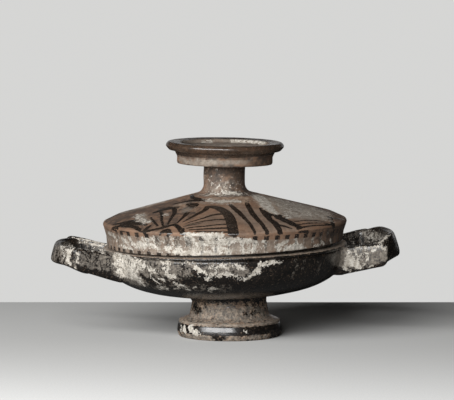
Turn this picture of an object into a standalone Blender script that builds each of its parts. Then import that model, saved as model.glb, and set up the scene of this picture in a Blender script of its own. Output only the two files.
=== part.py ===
"""A lidded lekanis: a shallow two-handled clay bowl on a low foot, under a conical lid with a disc knob.

Blender 4.5, metres, +Z up. There are two fired pieces, each one closed solid:
  bowl  the bowl with its foot and its two ribbon handles, which the potter joined on before firing
  lid   the lid with its knob, which lifts off and rests on the bowl's ledge
The origin is on the table below the middle of the vessel's width, +X runs along the handles, -Y is the front.
The vessel is hand made, so the bowl leans on its foot, the foot is off centre, and the knob leans on the lid.
Outlines are lists of (radius, height, fillet), turned round the vessel's axis.
"""

import math

import bmesh
import bpy
from mathutils import Matrix, Vector

SEGMENTS = 44
FILLET_STEPS = 2
STRAP_SIDES = 10

# Foot
FOOT_BASE_RADIUS = 0.0333
FOOT_RIM_RADIUS = 0.0347
FOOT_RIM_HEIGHT = 0.0098
FOOT_RIM_ROUNDING = 0.0030
FOOT_EDGE_RADIUS = 0.0336
FOOT_EDGE_THICKNESS = 0.0011
FOOT_SLOPE_HEIGHT = 0.0027
FOOT_STEM_RADIUS = 0.0247
FOOT_STEM_SPREAD = 0.0016
FOOT_HEIGHT = 0.0266
FOOT_RING_WIDTH = 0.0058
FOOT_WALL = 0.0072
FOOT_CEILING = 0.0080
FOOT_OFF_CENTRE = 0.0028

# Bowl
BOWL_RADIUS = 0.0799
BOWL_DEPTH = 0.0338
BOWL_WALL = 0.0056
LEDGE_WIDTH = 0.0067
LEDGE_RING_PROUD = 0.0007
LEDGE_RING_HEIGHT = 0.0024
LEDGE_GROOVE = 0.0005
LIP_WALL = 0.0036
LIP_HEADROOM = 0.0046
BOWL_LEAN_DEG = 1.2

# Handles: an arm on each side that ends in a rounded tab, and a loop between the arms.
# Of each pair of values, the first is the front arm's and the second the back arm's.
STRAP = 0.0050
STRAP_HEIGHT_ROOT = 0.0184
STRAP_HEIGHT_TAB = 0.0149
ARM_SPREAD = 0.0330
ARM_SPLAY_DEG = 12.4
ARM_DROP = 0.0008
ARM_ROOT_FLARE = 0.0014
ARM_ROOT_SPREAD = 0.0018
ARM_ROOT_TUCK = 0.0015
TAB_ROUNDING = 0.0045
TAB_OVERHANG = 0.0100
LOOP_LEAN_DEG = 17.0
LEFT = {
    "arm_lengths": (0.0294, 0.0306),
    "rises": (0.0054, 0.0060),
    "crown_beyond_tabs": 0.0128,
    "crown_rise": -0.0002,
    "crown_height": 0.0126,
}
RIGHT = {
    "arm_lengths": (0.0304, 0.0304),
    "rises": (0.0021, 0.0043),
    "crown_beyond_tabs": 0.0130,
    "crown_rise": 0.0038,
    "crown_height": 0.0165,
}

# Lid
LID_CLEARANCE = 0.0009
LID_SEAT_GAP = 0.0005
LID_LEAN_DEG = 0.85
FLANGE_WALL = 0.0039
FLANGE_HEIGHT = 0.0153
FLANGE_SKEW_DEG = 1.15
SHOULDER_OVERHANG = 0.0029
SHOULDER_WIDTH = 0.0090
SHOULDER_SLOPE = 0.36
DOME_RISE = 0.0188
DOME_WALL = 0.0048
STEM_RADIUS = 0.0137
STEM_LENGTH = 0.0180
NECK_ROUNDING = 0.0060

# Knob
KNOB_RIM_RADIUS = 0.0392
KNOB_RIM_THICKNESS = 0.0056
KNOB_COVE_HEIGHT = 0.0042
KNOB_COVE_WIDTH = 0.0018
KNOB_BAND_HEIGHT = 0.0046
KNOB_BAND_SETBACK = 0.0076
KNOB_DISH_SETBACK = 0.0124
KNOB_DISH_DEPTH = 0.0027
KNOB_LEAN_DEG = 1.7
KNOB_OFF_CENTRE = 0.0005

# Small softenings left by the potter's fingers and sponge
SOFT = 0.0004
WORN = 0.0010

CLAY = (0.36, 0.16, 0.085, 1.0)
GLOSS = (0.020, 0.017, 0.015, 1.0)


# Sizes that follow from the ones above


def ledge_height():
    """The shelf inside the bowl's rim ring, which the lid rests on."""
    return FOOT_HEIGHT + BOWL_DEPTH


def lip_radius():
    """The outside of the lip that stands up inside the lid's flange."""
    return BOWL_RADIUS - LEDGE_WIDTH


def flange_radii():
    """The inside and the outside of the lid's flange, and its shoulder."""
    inside = lip_radius() + LID_CLEARANCE
    return inside, inside + FLANGE_WALL, inside + FLANGE_WALL + SHOULDER_OVERHANG


def inner_corner_height():
    """The corner under the dome, above the flange's lower edge."""
    inside, _, shoulder = flange_radii()
    slope = DOME_RISE / (shoulder - STEM_RADIUS)
    return FLANGE_HEIGHT + (shoulder - inside) * slope - DOME_WALL * math.hypot(1, slope)


def lid_lift():
    """How far the middle of the flange's lower edge stands above the ledge, as the lid sits askew."""
    askew = math.radians(LID_LEAN_DEG + FLANGE_SKEW_DEG - BOWL_LEAN_DEG)
    return LID_SEAT_GAP + flange_radii()[1] * abs(math.sin(askew))


# Outlines


def rounded(corners):
    """Points through the corners, with each corner turned into an arc of its fillet.

    A fillet is cut down where the edges beside its corner are too short for it."""
    points = []
    last = len(corners) - 1
    for i, (r, z, fillet) in enumerate(corners):
        here = Vector((r, z))
        if i in (0, last) or fillet <= 0:
            points.append(here)
            continue
        back = Vector(corners[i - 1][:2]) - here
        on = Vector(corners[i + 1][:2]) - here
        half = back.angle(on) / 2
        reach = min(fillet / math.tan(half), 0.48 * back.length, 0.48 * on.length)
        radius = reach * math.tan(half)
        middle = here + (back.normalized() + on.normalized()).normalized() * (radius / math.sin(half))
        start = here + back.normalized() * reach - middle
        end = here + on.normalized() * reach - middle
        sweep = start.angle_signed(end)
        for k in range(FILLET_STEPS + 1):
            points.append(middle + Matrix.Rotation(-sweep * k / FILLET_STEPS, 2) @ start)
    return points


def bezier(p0, p1, p2, p3, steps):
    """Points of a cubic curve from p0 to p3, both ends included."""
    points = []
    for k in range(steps + 1):
        t = k / steps
        u = 1 - t
        weights = (u**3, 3 * u * u * t, 3 * u * t * t, t**3)
        x, y = (sum(w * p[i] for w, p in zip(weights, (p0, p1, p2, p3))) for i in (0, 1))
        points.append(Vector((x, y)))
    return points


def foot_outline():
    """From the middle of the hollow under the foot, over the resting ring, to the stem's waist."""
    ring_inside = FOOT_BASE_RADIUS - FOOT_RING_WIDTH
    hollow = FOOT_STEM_RADIUS - FOOT_WALL
    ceiling = FOOT_HEIGHT + BOWL_WALL - FOOT_CEILING
    edge_top = FOOT_RIM_HEIGHT + FOOT_EDGE_THICKNESS
    return rounded(
        [
            (0.0, ceiling, 0),
            (hollow, ceiling - WORN, 0.25 * hollow),
            (hollow + WORN, FOOT_RIM_HEIGHT, 0),
            (ring_inside, 0.0, 0),
            (FOOT_BASE_RADIUS, 0.0, 2 * SOFT),
            (FOOT_RIM_RADIUS, 0.40 * FOOT_RIM_HEIGHT, FOOT_RIM_ROUNDING),
            (FOOT_RIM_RADIUS, 0.86 * FOOT_RIM_HEIGHT, WORN),
            (FOOT_EDGE_RADIUS - SOFT, FOOT_RIM_HEIGHT, 0),
            (FOOT_EDGE_RADIUS, FOOT_RIM_HEIGHT + 0.4 * FOOT_EDGE_THICKNESS, 0),
            (FOOT_EDGE_RADIUS - SOFT, edge_top, 0),
            (FOOT_STEM_RADIUS + FOOT_STEM_SPREAD, edge_top + FOOT_SLOPE_HEIGHT, FOOT_SLOPE_HEIGHT),
            (FOOT_STEM_RADIUS, 0.86 * FOOT_HEIGHT, 0),
        ]
    )


def bowl_outline():
    """From the stem's waist, round the outside and over the lip, to the middle of the bowl's floor."""
    ledge = ledge_height()
    lip = lip_radius()
    lip_inside = lip - LIP_WALL
    lip_top = ledge + lid_lift() + inner_corner_height() - LIP_HEADROOM
    ring_low = ledge - LEDGE_RING_HEIGHT
    ring_radius = BOWL_RADIUS + LEDGE_RING_PROUD
    belly = bezier(
        (FOOT_STEM_RADIUS + 0.75 * FOOT_STEM_SPREAD, FOOT_HEIGHT),
        (0.66 * BOWL_RADIUS, FOOT_HEIGHT + 0.100 * BOWL_DEPTH),
        (1.01 * BOWL_RADIUS, FOOT_HEIGHT + 0.23 * BOWL_DEPTH),
        (BOWL_RADIUS, ring_low - SOFT),
        9,
    )
    rim = rounded(
        [
            (BOWL_RADIUS - LEDGE_GROOVE, ring_low, 0),
            (ring_radius, ring_low + 0.35 * LEDGE_RING_HEIGHT, 0),
            (ring_radius, ring_low + 0.75 * LEDGE_RING_HEIGHT, 0),
            (BOWL_RADIUS - SOFT, ledge, 0),
            (lip, ledge, 0),
            (lip, lip_top, 0.4 * LIP_WALL),
            (lip_inside, lip_top, 0.4 * LIP_WALL),
            (lip_inside, ledge - 0.15 * BOWL_DEPTH, 0),
        ]
    )
    floor = FOOT_HEIGHT + BOWL_WALL
    basin = bezier(
        (lip_inside, ledge - 0.22 * BOWL_DEPTH),
        (0.985 * lip_inside, floor + 0.30 * BOWL_DEPTH - 0.6 * BOWL_WALL),
        (0.62 * lip_inside, floor + 0.10 * BOWL_DEPTH),
        (0.0, floor),
        7,
    )
    return belly + rim + basin


def dome_outline():
    """From the middle of the lid's underside, down inside the flange and up the outside to the stem's top."""
    inside, seat, shoulder = flange_radii()
    neck = FLANGE_HEIGHT + DOME_RISE
    inner_corner = inner_corner_height()
    ceiling = inner_corner + (inside - STEM_RADIUS) * DOME_RISE / (shoulder - STEM_RADIUS)
    return rounded(
        [
            (0.0, ceiling + SOFT, 0),
            (STEM_RADIUS, ceiling, 0.6 * STEM_RADIUS),
            (inside, inner_corner, WORN),
            (inside, SOFT / 2, 0),
            (inside + SOFT, 0.0, 0),
            (seat - SOFT, 0.0, 0),
            (seat, SOFT, 0),
            (seat + 0.15 * SHOULDER_OVERHANG, 0.42 * FLANGE_HEIGHT, WORN),
            (seat + 0.65 * SHOULDER_OVERHANG, 0.72 * FLANGE_HEIGHT, 3 * WORN),
            (shoulder, FLANGE_HEIGHT - WORN, 2 * WORN),
            (shoulder - SHOULDER_WIDTH, FLANGE_HEIGHT + SHOULDER_SLOPE * SHOULDER_WIDTH, 2 * SHOULDER_WIDTH),
            (STEM_RADIUS, neck, NECK_ROUNDING),
            (STEM_RADIUS, neck + STEM_LENGTH, 0),
        ]
    )


def knob_outline():
    """From the band under the knob's rim, over the rim, to the middle of the dish on top."""
    under = FLANGE_HEIGHT + DOME_RISE + STEM_LENGTH
    band = KNOB_RIM_RADIUS - KNOB_BAND_SETBACK
    band_top = under + KNOB_BAND_HEIGHT
    rim_low = band_top + KNOB_COVE_HEIGHT
    top = rim_low + KNOB_RIM_THICKNESS
    dish = KNOB_RIM_RADIUS - KNOB_DISH_SETBACK
    floor = top - KNOB_DISH_DEPTH
    return rounded(
        [
            (band - SOFT, under, 0),
            (band, under + WORN, 0),
            (band, band_top, 2 * WORN),
            (band + KNOB_COVE_WIDTH, rim_low - SOFT, WORN),
            (KNOB_RIM_RADIUS - 0.42 * KNOB_RIM_THICKNESS, rim_low, WORN),
            (KNOB_RIM_RADIUS + SOFT, rim_low + 0.55 * KNOB_RIM_THICKNESS, 2 * WORN),
            (KNOB_RIM_RADIUS - 0.33 * KNOB_RIM_THICKNESS, top, 2 * WORN),
            (dish + 2 * WORN, top - 0.3 * KNOB_DISH_DEPTH, 0),
            (dish, floor, 0),
            (0.18 * dish, floor - SOFT, 0),
            (0.0, floor - WORN, 0),
        ]
    )


# The hand-made irregularities


def smooth_share(value, low, high):
    """0 below low, 1 above high, and a smooth step between."""
    t = min(1.0, max(0.0, (value - low) / (high - low)))
    return t * t * (3 - 2 * t)


def tilt(point, pivot, degrees):
    """Turns a point about the line through pivot along Y, so that +X rises."""
    return Matrix.Rotation(math.radians(-degrees), 3, "Y") @ (point - pivot) + pivot


def settle_bowl(point):
    """Leans the bowl and its handles about the middle of the ledge, over an upright, off-centre foot."""
    share = smooth_share(point.z, 0.80 * FOOT_HEIGHT, 1.15 * FOOT_HEIGHT)
    leaned = tilt(point, Vector((0, 0, ledge_height())), BOWL_LEAN_DEG)
    foot = point + Vector((FOOT_OFF_CENTRE, 0, 0))
    return foot.lerp(leaned, share)


def settle_lid(point):
    """Skews the flange's lower edge, sets the knob askew, and seats the lid on the leaning ledge."""
    neck = FLANGE_HEIGHT + DOME_RISE
    under = neck + STEM_LENGTH
    low = 1 - smooth_share(point.z, 0.0, 0.8 * FLANGE_HEIGHT)
    skewed = point + Vector((0, 0, low * point.x * math.tan(math.radians(FLANGE_SKEW_DEG))))
    share = smooth_share(point.z, neck + 0.5 * STEM_LENGTH, under)
    knob = tilt(skewed, Vector((0, 0, under)), -KNOB_LEAN_DEG) + Vector((KNOB_OFF_CENTRE, 0, 0))
    leaned = tilt(skewed.lerp(knob, share), Vector((0, 0, 0)), LID_LEAN_DEG)
    return leaned + Vector((0, 0, ledge_height() + lid_lift()))


# Meshes


def new_object(name, mesh_maker, material, place):
    """An object whose mesh mesh_maker builds, with every point moved by place."""
    work = bmesh.new()
    mesh_maker(work)
    for vertex in work.verts:
        vertex.co = place(vertex.co)
    bmesh.ops.recalc_face_normals(work, faces=work.faces)
    mesh = bpy.data.meshes.new(name)
    work.to_mesh(mesh)
    work.free()
    mesh.shade_smooth()
    mesh.set_sharp_from_angle(angle=math.radians(50))
    mesh.materials.append(material)
    built = bpy.data.objects.new(name, mesh)
    bpy.context.scene.collection.objects.link(built)
    return built


def turned(outline):
    """A maker that turns an outline, which starts and ends on the axis, once round Z."""

    def make(work):
        column = [work.verts.new((p.x, 0, p.y)) for p in outline]
        edges = [work.edges.new(pair) for pair in zip(column, column[1:])]
        bmesh.ops.spin(
            work,
            geom=column + edges,
            axis=(0, 0, 1),
            cent=(0, 0, 0),
            angle=2 * math.pi,
            steps=SEGMENTS,
            use_merge=True,
        )
        bmesh.ops.remove_doubles(work, verts=work.verts, dist=1e-6)

    return make


def swept(stations):
    """A maker that joins rounded sections along a strap. A station is (middle, side, up, half thickness,
    half height), and its section is a superellipse, flat on its faces and round on its edges."""
    flatness = 0.55

    def make(work):
        rings = []
        for middle, side, up, thick, high in stations:
            ring = []
            for k in range(STRAP_SIDES):
                angle = 2 * math.pi * (k + 0.5) / STRAP_SIDES
                c, s = math.cos(angle), math.sin(angle)
                across = math.copysign(abs(c) ** flatness, c) * thick
                along = math.copysign(abs(s) ** flatness, s) * high
                ring.append(work.verts.new(middle + side * across + up * along))
            rings.append(ring)
        for first, second in zip(rings, rings[1:]):
            for k in range(STRAP_SIDES):
                n = (k + 1) % STRAP_SIDES
                work.faces.new((first[k], first[n], second[n], second[k]))
        work.faces.new(list(reversed(rings[0])))
        work.faces.new(rings[-1])

    return make


# Handles


def arm_frame():
    """Root and direction of the right front arm's middle line, in plan."""
    splay = math.radians(ARM_SPLAY_DEG)
    along = Vector((math.cos(splay), -math.sin(splay), 0))
    inward = Vector((-along.y, along.x, 0))
    face = Vector((math.sqrt(BOWL_RADIUS**2 - ARM_SPREAD**2), -ARM_SPREAD, 0))
    return face + inward * STRAP / 2, along, inward


def arm_levels(share, rise):
    """Top and bottom of an arm at a share of its length. It spreads downwards where it meets the wall,
    and inside the wall its lower edge tucks up, so that no corner comes out under the bowl."""
    top = ledge_height() - ARM_DROP + rise * smooth_share(share, -0.1, 1.0)
    height = STRAP_HEIGHT_ROOT + (STRAP_HEIGHT_TAB - STRAP_HEIGHT_ROOT) * min(1, max(0, share))
    spread = ARM_ROOT_SPREAD * smooth_share(-share, -0.15, 0.10)
    tuck = ARM_ROOT_TUCK * smooth_share(-share, 0.10, 0.25)
    return top, top - height - spread + tuck


def arm_stations(length, rise):
    """Stations from inside the bowl's wall to the rounded tab."""
    root, along, inward = arm_frame()
    embedded = 0.75 * (LEDGE_WIDTH + LIP_WALL)
    straight = length - TAB_ROUNDING
    along_arm = (-embedded, -0.4 * embedded, 0.0, 0.2 * length, 0.5 * length, straight)
    stops = [(stop, 0) for stop in along_arm]
    stops += [(straight + TAB_ROUNDING * math.sin(turn), turn) for turn in map(math.radians, (40, 65, 86))]
    stations = []
    for stop, turn in stops:
        top, low = arm_levels(stop / length, rise)
        flare = ARM_ROOT_FLARE * (1 - smooth_share(stop, 0, 0.35 * length))
        place = root + along * stop + Vector((0, 0, (top + low) / 2))
        high = (top - low) / 2 - TAB_ROUNDING * (1 - math.cos(turn))
        thick = (STRAP + flare) / 2 * (0.45 + 0.55 * math.cos(turn))
        stations.append((place, inward, Vector((0, 0, 1)), thick, high))
    return stations


def loop_stations(handle, steps=12):
    """Stations along the loop, half an ellipse in plan, which leans in at its top."""
    root, along, inward = arm_frame()
    lengths, rises = handle["arm_lengths"], handle["rises"]
    length = sum(lengths) / 2
    start = root + along * (length - TAB_OVERHANG) + inward * STRAP * 0.6
    crown = (root + along * length).x + handle["crown_beyond_tabs"] - STRAP / 2
    reach, width = crown - start.x, -start.y
    ends = [arm_levels(1 - TAB_OVERHANG / arm, rise) for arm, rise in zip(lengths, rises)]
    crown_top = ledge_height() - ARM_DROP + sum(rises) / 2 + handle["crown_rise"]
    crown_levels = (crown_top, crown_top - handle["crown_height"])
    stations = []
    for k in range(steps + 1):
        turn = math.pi * k / steps
        out, across = math.sin(turn), math.cos(turn)
        normal = Vector((out * width, -across * reach, 0)).normalized()
        lean = math.radians(LOOP_LEAN_DEG) * out * out
        side = normal * math.cos(lean) + Vector((0, 0, math.sin(lean)))
        up = Vector((0, 0, math.cos(lean))) - normal * math.sin(lean)
        front = (1 + across) / 2
        blend = smooth_share(out, 0, 0.8)
        top, low = (
            (f * front + b * (1 - front)) * (1 - blend) + c * blend for f, b, c in zip(*ends, crown_levels)
        )
        half = (top - low) / 2
        place = Vector((start.x + reach * out, -width * across, (top + low) / 2))
        place -= normal * half * math.sin(lean) * 0.6
        stations.append((place, side, up, STRAP / 2, half))
    return stations


def mirrored(stations, across_x, across_y):
    """The same stations on the other side of the vessel."""
    flip = Vector((-1 if across_x else 1, -1 if across_y else 1, 1))
    return [(m * flip, s * flip, u * flip, t, h) for m, s, u, t, h in stations]


def handle_pieces(name, handle, material):
    """Two arms and a loop, each a helper that the bowl takes in by a union."""
    left = name == "left"
    front, back = zip(handle["arm_lengths"], handle["rises"])
    runs = {
        "arm_front": mirrored(arm_stations(*front), left, False),
        "arm_back": mirrored(arm_stations(*back), left, True),
        "loop": mirrored(loop_stations(handle), left, False),
    }
    pieces = []
    for run, stations in runs.items():
        piece = new_object(f"{name}_{run}", swept(stations), material, settle_bowl)
        piece.hide_render = True
        piece.display_type = "WIRE"
        pieces.append(piece)
    return pieces


# Materials and the two pieces


def fired_clay(name, colour, roughness):
    material = bpy.data.materials.new(name)
    material.use_nodes = True
    shader = material.node_tree.nodes["Principled BSDF"]
    shader.inputs["Base Color"].default_value = colour
    shader.inputs["Roughness"].default_value = roughness
    shader.inputs["Metallic"].default_value = 0.0
    return material


def make_bowl():
    gloss = fired_clay("black_gloss_clay", GLOSS, 0.35)
    bowl = new_object("bowl", turned(foot_outline() + bowl_outline()), gloss, settle_bowl)
    for name, handle in (("left", LEFT), ("right", RIGHT)):
        for piece in handle_pieces(name, handle, gloss):
            join = bowl.modifiers.new(f"join_{piece.name}", "BOOLEAN")
            join.operation = "UNION"
            join.solver = "EXACT"
            join.object = piece


def make_lid():
    clay = fired_clay("painted_clay", CLAY, 0.6)
    new_object("lid", turned(dome_outline() + knob_outline()), clay, settle_lid)


def clear_scene():
    for old in list(bpy.data.objects):
        bpy.data.objects.remove(old)


def centre_on_width():
    """Moves every mesh so that the origin lies under the middle of the width."""
    across = [vertex.co.x for built in bpy.data.objects for vertex in built.data.vertices]
    middle = (min(across) + max(across)) / 2
    for built in bpy.data.objects:
        built.data.transform(Matrix.Translation((-middle, 0, 0)))


clear_scene()
make_bowl()
make_lid()
centre_on_width()
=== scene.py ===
"""The looks of a lidded lekanis: worn black gloss, reserved clay, painted ornament and white lime crust.

Blender 4.5, metres, +Z up. Two pieces stand for the two solids:
  vessel_body   the bowl with its foot and its two ribbon handles, one closed surface
  vessel_lid    the lid with its stem and disc knob, one closed surface
Their shapes repeat the named sizes of the solids on finer grids. The painting and the wear are signed
distances and densities, worked out for every point of a surface and kept in its mesh as attributes, which the
materials turn into ragged edges, speckles and flakes. Some of these densities also paint shade, and a
highlight, into the colour.
Angles round the vessel are in degrees from the middle of its painted front, growing towards the right handle.
"""

import itertools
import math

import bmesh
import bpy
import numpy as np
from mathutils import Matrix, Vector


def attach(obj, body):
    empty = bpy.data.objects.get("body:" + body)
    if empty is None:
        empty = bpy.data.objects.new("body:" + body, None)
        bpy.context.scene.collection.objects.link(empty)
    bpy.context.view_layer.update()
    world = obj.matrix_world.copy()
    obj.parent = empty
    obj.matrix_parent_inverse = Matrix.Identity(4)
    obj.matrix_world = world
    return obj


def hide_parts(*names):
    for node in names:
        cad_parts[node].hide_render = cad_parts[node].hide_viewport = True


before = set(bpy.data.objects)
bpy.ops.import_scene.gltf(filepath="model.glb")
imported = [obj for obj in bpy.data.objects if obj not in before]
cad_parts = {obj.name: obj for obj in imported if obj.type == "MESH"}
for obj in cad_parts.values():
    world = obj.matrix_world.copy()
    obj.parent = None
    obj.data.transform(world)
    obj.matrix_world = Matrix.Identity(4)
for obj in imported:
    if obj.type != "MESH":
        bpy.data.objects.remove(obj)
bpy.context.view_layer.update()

MM = 0.001

# Foot
FOOT_BASE_RADIUS = 0.0333
FOOT_RIM_RADIUS = 0.0347
FOOT_RIM_HEIGHT = 0.0098
FOOT_RIM_ROUNDING = 0.0030
FOOT_EDGE_RADIUS = 0.0336
FOOT_EDGE_THICKNESS = 0.0011
FOOT_SLOPE_HEIGHT = 0.0027
FOOT_STEM_RADIUS = 0.0247
FOOT_STEM_SPREAD = 0.0016
FOOT_HEIGHT = 0.0266
FOOT_RING_WIDTH = 0.0058
FOOT_WALL = 0.0072
FOOT_CEILING = 0.0080
FOOT_OFF_CENTRE = 0.0028

# Bowl
BOWL_RADIUS = 0.0799
BOWL_DEPTH = 0.0338
BOWL_WALL = 0.0056
LEDGE_WIDTH = 0.0067
LEDGE_RING_PROUD = 0.0007
LEDGE_RING_HEIGHT = 0.0024
LEDGE_GROOVE = 0.0005
LIP_WALL = 0.0036
LIP_HEADROOM = 0.0046
BOWL_LEAN_DEG = 1.2

# Handles. Of each pair, the first value is the front arm's and the second the back arm's.
STRAP = 0.0049
STRAP_HEIGHT_ROOT = 0.0184
STRAP_HEIGHT_TAB = 0.0149
ARM_SPREAD = 0.0330
ARM_SPLAY_DEG = 12.4
ARM_DROP = 0.0008
ARM_ROOT_FLARE = 0.0014
ARM_ROOT_SPREAD = 0.0004
ARM_ROOT_TUCK = 0.0015
ARM_ROOT_FILLET = 0.0024
TAB_ROUNDING = 0.0045
TAB_OVERHANG = 0.0100
LOOP_LEAN_DEG = 17.0
STRAP_FLATNESS = 0.55
LEFT = {
    "arm_lengths": (0.0294, 0.0306),
    "rises": (0.0054, 0.0060),
    "crown_beyond_tabs": 0.0128,
    "crown_rise": -0.0002,
    "crown_height": 0.0126,
}
RIGHT = {
    "arm_lengths": (0.0304, 0.0304),
    "rises": (0.0021, 0.0043),
    "crown_beyond_tabs": 0.0130,
    "crown_rise": 0.0038,
    "crown_height": 0.0165,
}

# Lid
LID_CLEARANCE = 0.0009
LID_SEAT_GAP = 0.0005
LID_LEAN_DEG = 0.85
FLANGE_WALL = 0.0039
FLANGE_HEIGHT = 0.0153
FLANGE_SKEW_DEG = 1.15
SHOULDER_OVERHANG = 0.0029
SHOULDER_WIDTH = 0.0090
SHOULDER_SLOPE = 0.36
DOME_RISE = 0.0188
DOME_WALL = 0.0048
STEM_RADIUS = 0.0137
STEM_LENGTH = 0.0180
NECK_ROUNDING = 0.0060

# Knob
KNOB_RIM_RADIUS = 0.0392
KNOB_RIM_THICKNESS = 0.0056
KNOB_COVE_HEIGHT = 0.0042
KNOB_COVE_WIDTH = 0.0018
KNOB_BAND_HEIGHT = 0.0046
KNOB_BAND_SETBACK = 0.0076
KNOB_DISH_SETBACK = 0.0124
KNOB_DISH_DEPTH = 0.0027
KNOB_LEAN_DEG = 1.7
KNOB_OFF_CENTRE = 0.0005

# How rounded edges are: those that stayed crisp, and those worn down
SOFT = 0.0004
WORN = 0.0010

# Fineness of the surfaces
FILLET_STEPS = 7
LID_SEGMENTS = 450
BOWL_SEGMENTS = 420
STRAP_SIDES = 36
LOOP_STEPS = 96
BELLY_STEPS = 64
BASIN_STEPS = 20
# The longest steps along an outline: where ornament is painted, on other surfaces, and under the lid
FINE = 0.00085
MIDDLING = 0.0017
COARSE = 0.0090
# The shortest step along an outline, and how close points of the joined body are when they are merged
CLOSEST = 0.25 * MM
MERGED_WITHIN = 0.05 * MM
# How far from an arm's root its crease is filled, and how often
CREASE_REACH = 18 * MM
CREASE_ROUNDS = 80
# Edges that turn by more than this are shown sharp
SHARP_DEG = 55

# Unevenness of the surfaces in millimetres: the mean depth, then the depth and the grain of two noises
UNEVEN_MEAN = 0.08
UNEVEN_BROAD = (0.07, 9)
UNEVEN_CLOSE = (0.03, 2.5)

# View
FRONT_DEG = -6.4
CAMERA_ELEVATION_DEG = 5.67
CAMERA_DISTANCE = 2.508
CAMERA_LENS = 301.3
CAMERA_AIM_RIGHT = 0.0007
CAMERA_AIM_HEIGHT = 0.0897
TABLE_BEHIND = 0.172
TABLE_BEFORE = 1.4
TABLE_HALF_WIDTH = 0.9
LIGHTS_AIM = (0, 0, 0.07)

# What is right and what is behind, as seen from the front
FRONT = math.radians(FRONT_DEG)
TO_RIGHT = np.array([math.cos(FRONT), math.sin(FRONT), 0])
TO_BACK = np.array([-math.sin(FRONT), math.cos(FRONT), 0])


# Sizes that follow from the ones above


def ledge_height():
    """The shelf inside the bowl's rim ring, which the lid rests on."""
    return FOOT_HEIGHT + BOWL_DEPTH


def lip_radius():
    """The outside of the lip that stands up inside the lid's flange."""
    return BOWL_RADIUS - LEDGE_WIDTH


def flange_radii():
    """The inside and the outside of the lid's flange, and its shoulder."""
    inside = lip_radius() + LID_CLEARANCE
    return inside, inside + FLANGE_WALL, inside + FLANGE_WALL + SHOULDER_OVERHANG


def inner_corner_height():
    """The corner under the dome, above the flange's lower edge."""
    inside, _, shoulder = flange_radii()
    slope = DOME_RISE / (shoulder - STEM_RADIUS)
    return FLANGE_HEIGHT + (shoulder - inside) * slope - DOME_WALL * math.hypot(1, slope)


def lid_lift():
    """How far the middle of the flange's lower edge stands above the ledge, as the lid sits askew."""
    askew = math.radians(LID_LEAN_DEG + FLANGE_SKEW_DEG - BOWL_LEAN_DEG)
    return LID_SEAT_GAP + flange_radii()[1] * abs(math.sin(askew))


def middle_shift():
    """How far the solids were moved along X to centre their width, read off the foot's resting ring."""
    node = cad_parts["bowl"]
    points = np.empty(len(node.data.vertices) * 3)
    node.data.vertices.foreach_get("co", points)
    points = points.reshape(-1, 3)
    ring = points[points[:, 2] < 0.1 * MM, 0]
    return (ring.min() + ring.max()) / 2 - FOOT_OFF_CENTRE


SHIFT = middle_shift()


# Outlines


def eased(value, low, high):
    """0 below low, 1 above high, and 3t^2 - 2t^3 between, for numbers and for arrays."""
    t = np.clip((value - low) / (high - low), 0, 1)
    return t * t * (3 - 2 * t)


def rounded(corners):
    """Points through corners of (radius, height, fillet). Each corner becomes an arc that touches both its
    edges, and a fillet is cut down where an edge beside it is too short."""
    points = [np.array(corners[0][:2])]
    for before, corner, after in zip(corners, corners[1:], corners[2:]):
        here = np.array(corner[:2])
        back = np.array(before[:2]) - here
        on = np.array(after[:2]) - here
        back_length, on_length = np.linalg.norm(back), np.linalg.norm(on)
        back, on = back / back_length, on / on_length
        half = math.acos(np.clip(back @ on, -1, 1)) / 2
        if corner[2] <= 0 or half > 1.55:
            points.append(here)
            continue
        reach = min(corner[2] / math.tan(half), 0.48 * back_length, 0.48 * on_length)
        radius = reach * math.tan(half)
        middle = here + (back + on) / np.linalg.norm(back + on) * (radius / math.sin(half))
        start, end = here + back * reach - middle, here + on * reach - middle
        sweep = math.atan2(start[0] * end[1] - start[1] * end[0], start @ end)
        for turn in np.linspace(0, sweep, FILLET_STEPS + 1):
            c, s = math.cos(turn), math.sin(turn)
            points.append(middle + np.array([c * start[0] - s * start[1], s * start[0] + c * start[1]]))
    points.append(np.array(corners[-1][:2]))
    return np.array(points)


def bezier(p0, p1, p2, p3, steps):
    """Points of a cubic curve from p0 to p3: the four points weighted by u^3, 3u^2t, 3ut^2 and t^3."""
    t = np.linspace(0, 1, steps + 1)[:, None]
    u = 1 - t
    return sum(w * np.array(p) for w, p in zip((u**3, 3 * u * u * t, 3 * u * t * t, t**3), (p0, p1, p2, p3)))


def divided(outline, spacing):
    """The outline with every edge cut into equal parts no longer than spacing. Corners stay in place."""
    edge = np.linalg.norm(np.diff(outline, axis=0), axis=1)
    parts = np.maximum(1, np.ceil(edge / spacing)).astype(int)
    start = np.repeat(np.arange(len(parts)), parts)
    share = (np.arange(parts.sum()) - np.repeat(np.cumsum(parts) - parts, parts)) / parts[start]
    inner = outline[start] + (outline[start + 1] - outline[start]) * share[:, None]
    return np.vstack([inner, outline[-1]])


def thinned(outline):
    """The outline without points that stand too close to the point kept before them."""
    kept = [0]
    for i in range(1, len(outline) - 1):
        if np.linalg.norm(outline[i] - outline[kept[-1]]) >= CLOSEST:
            kept.append(i)
    return outline[kept + [len(outline) - 1]]


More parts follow.
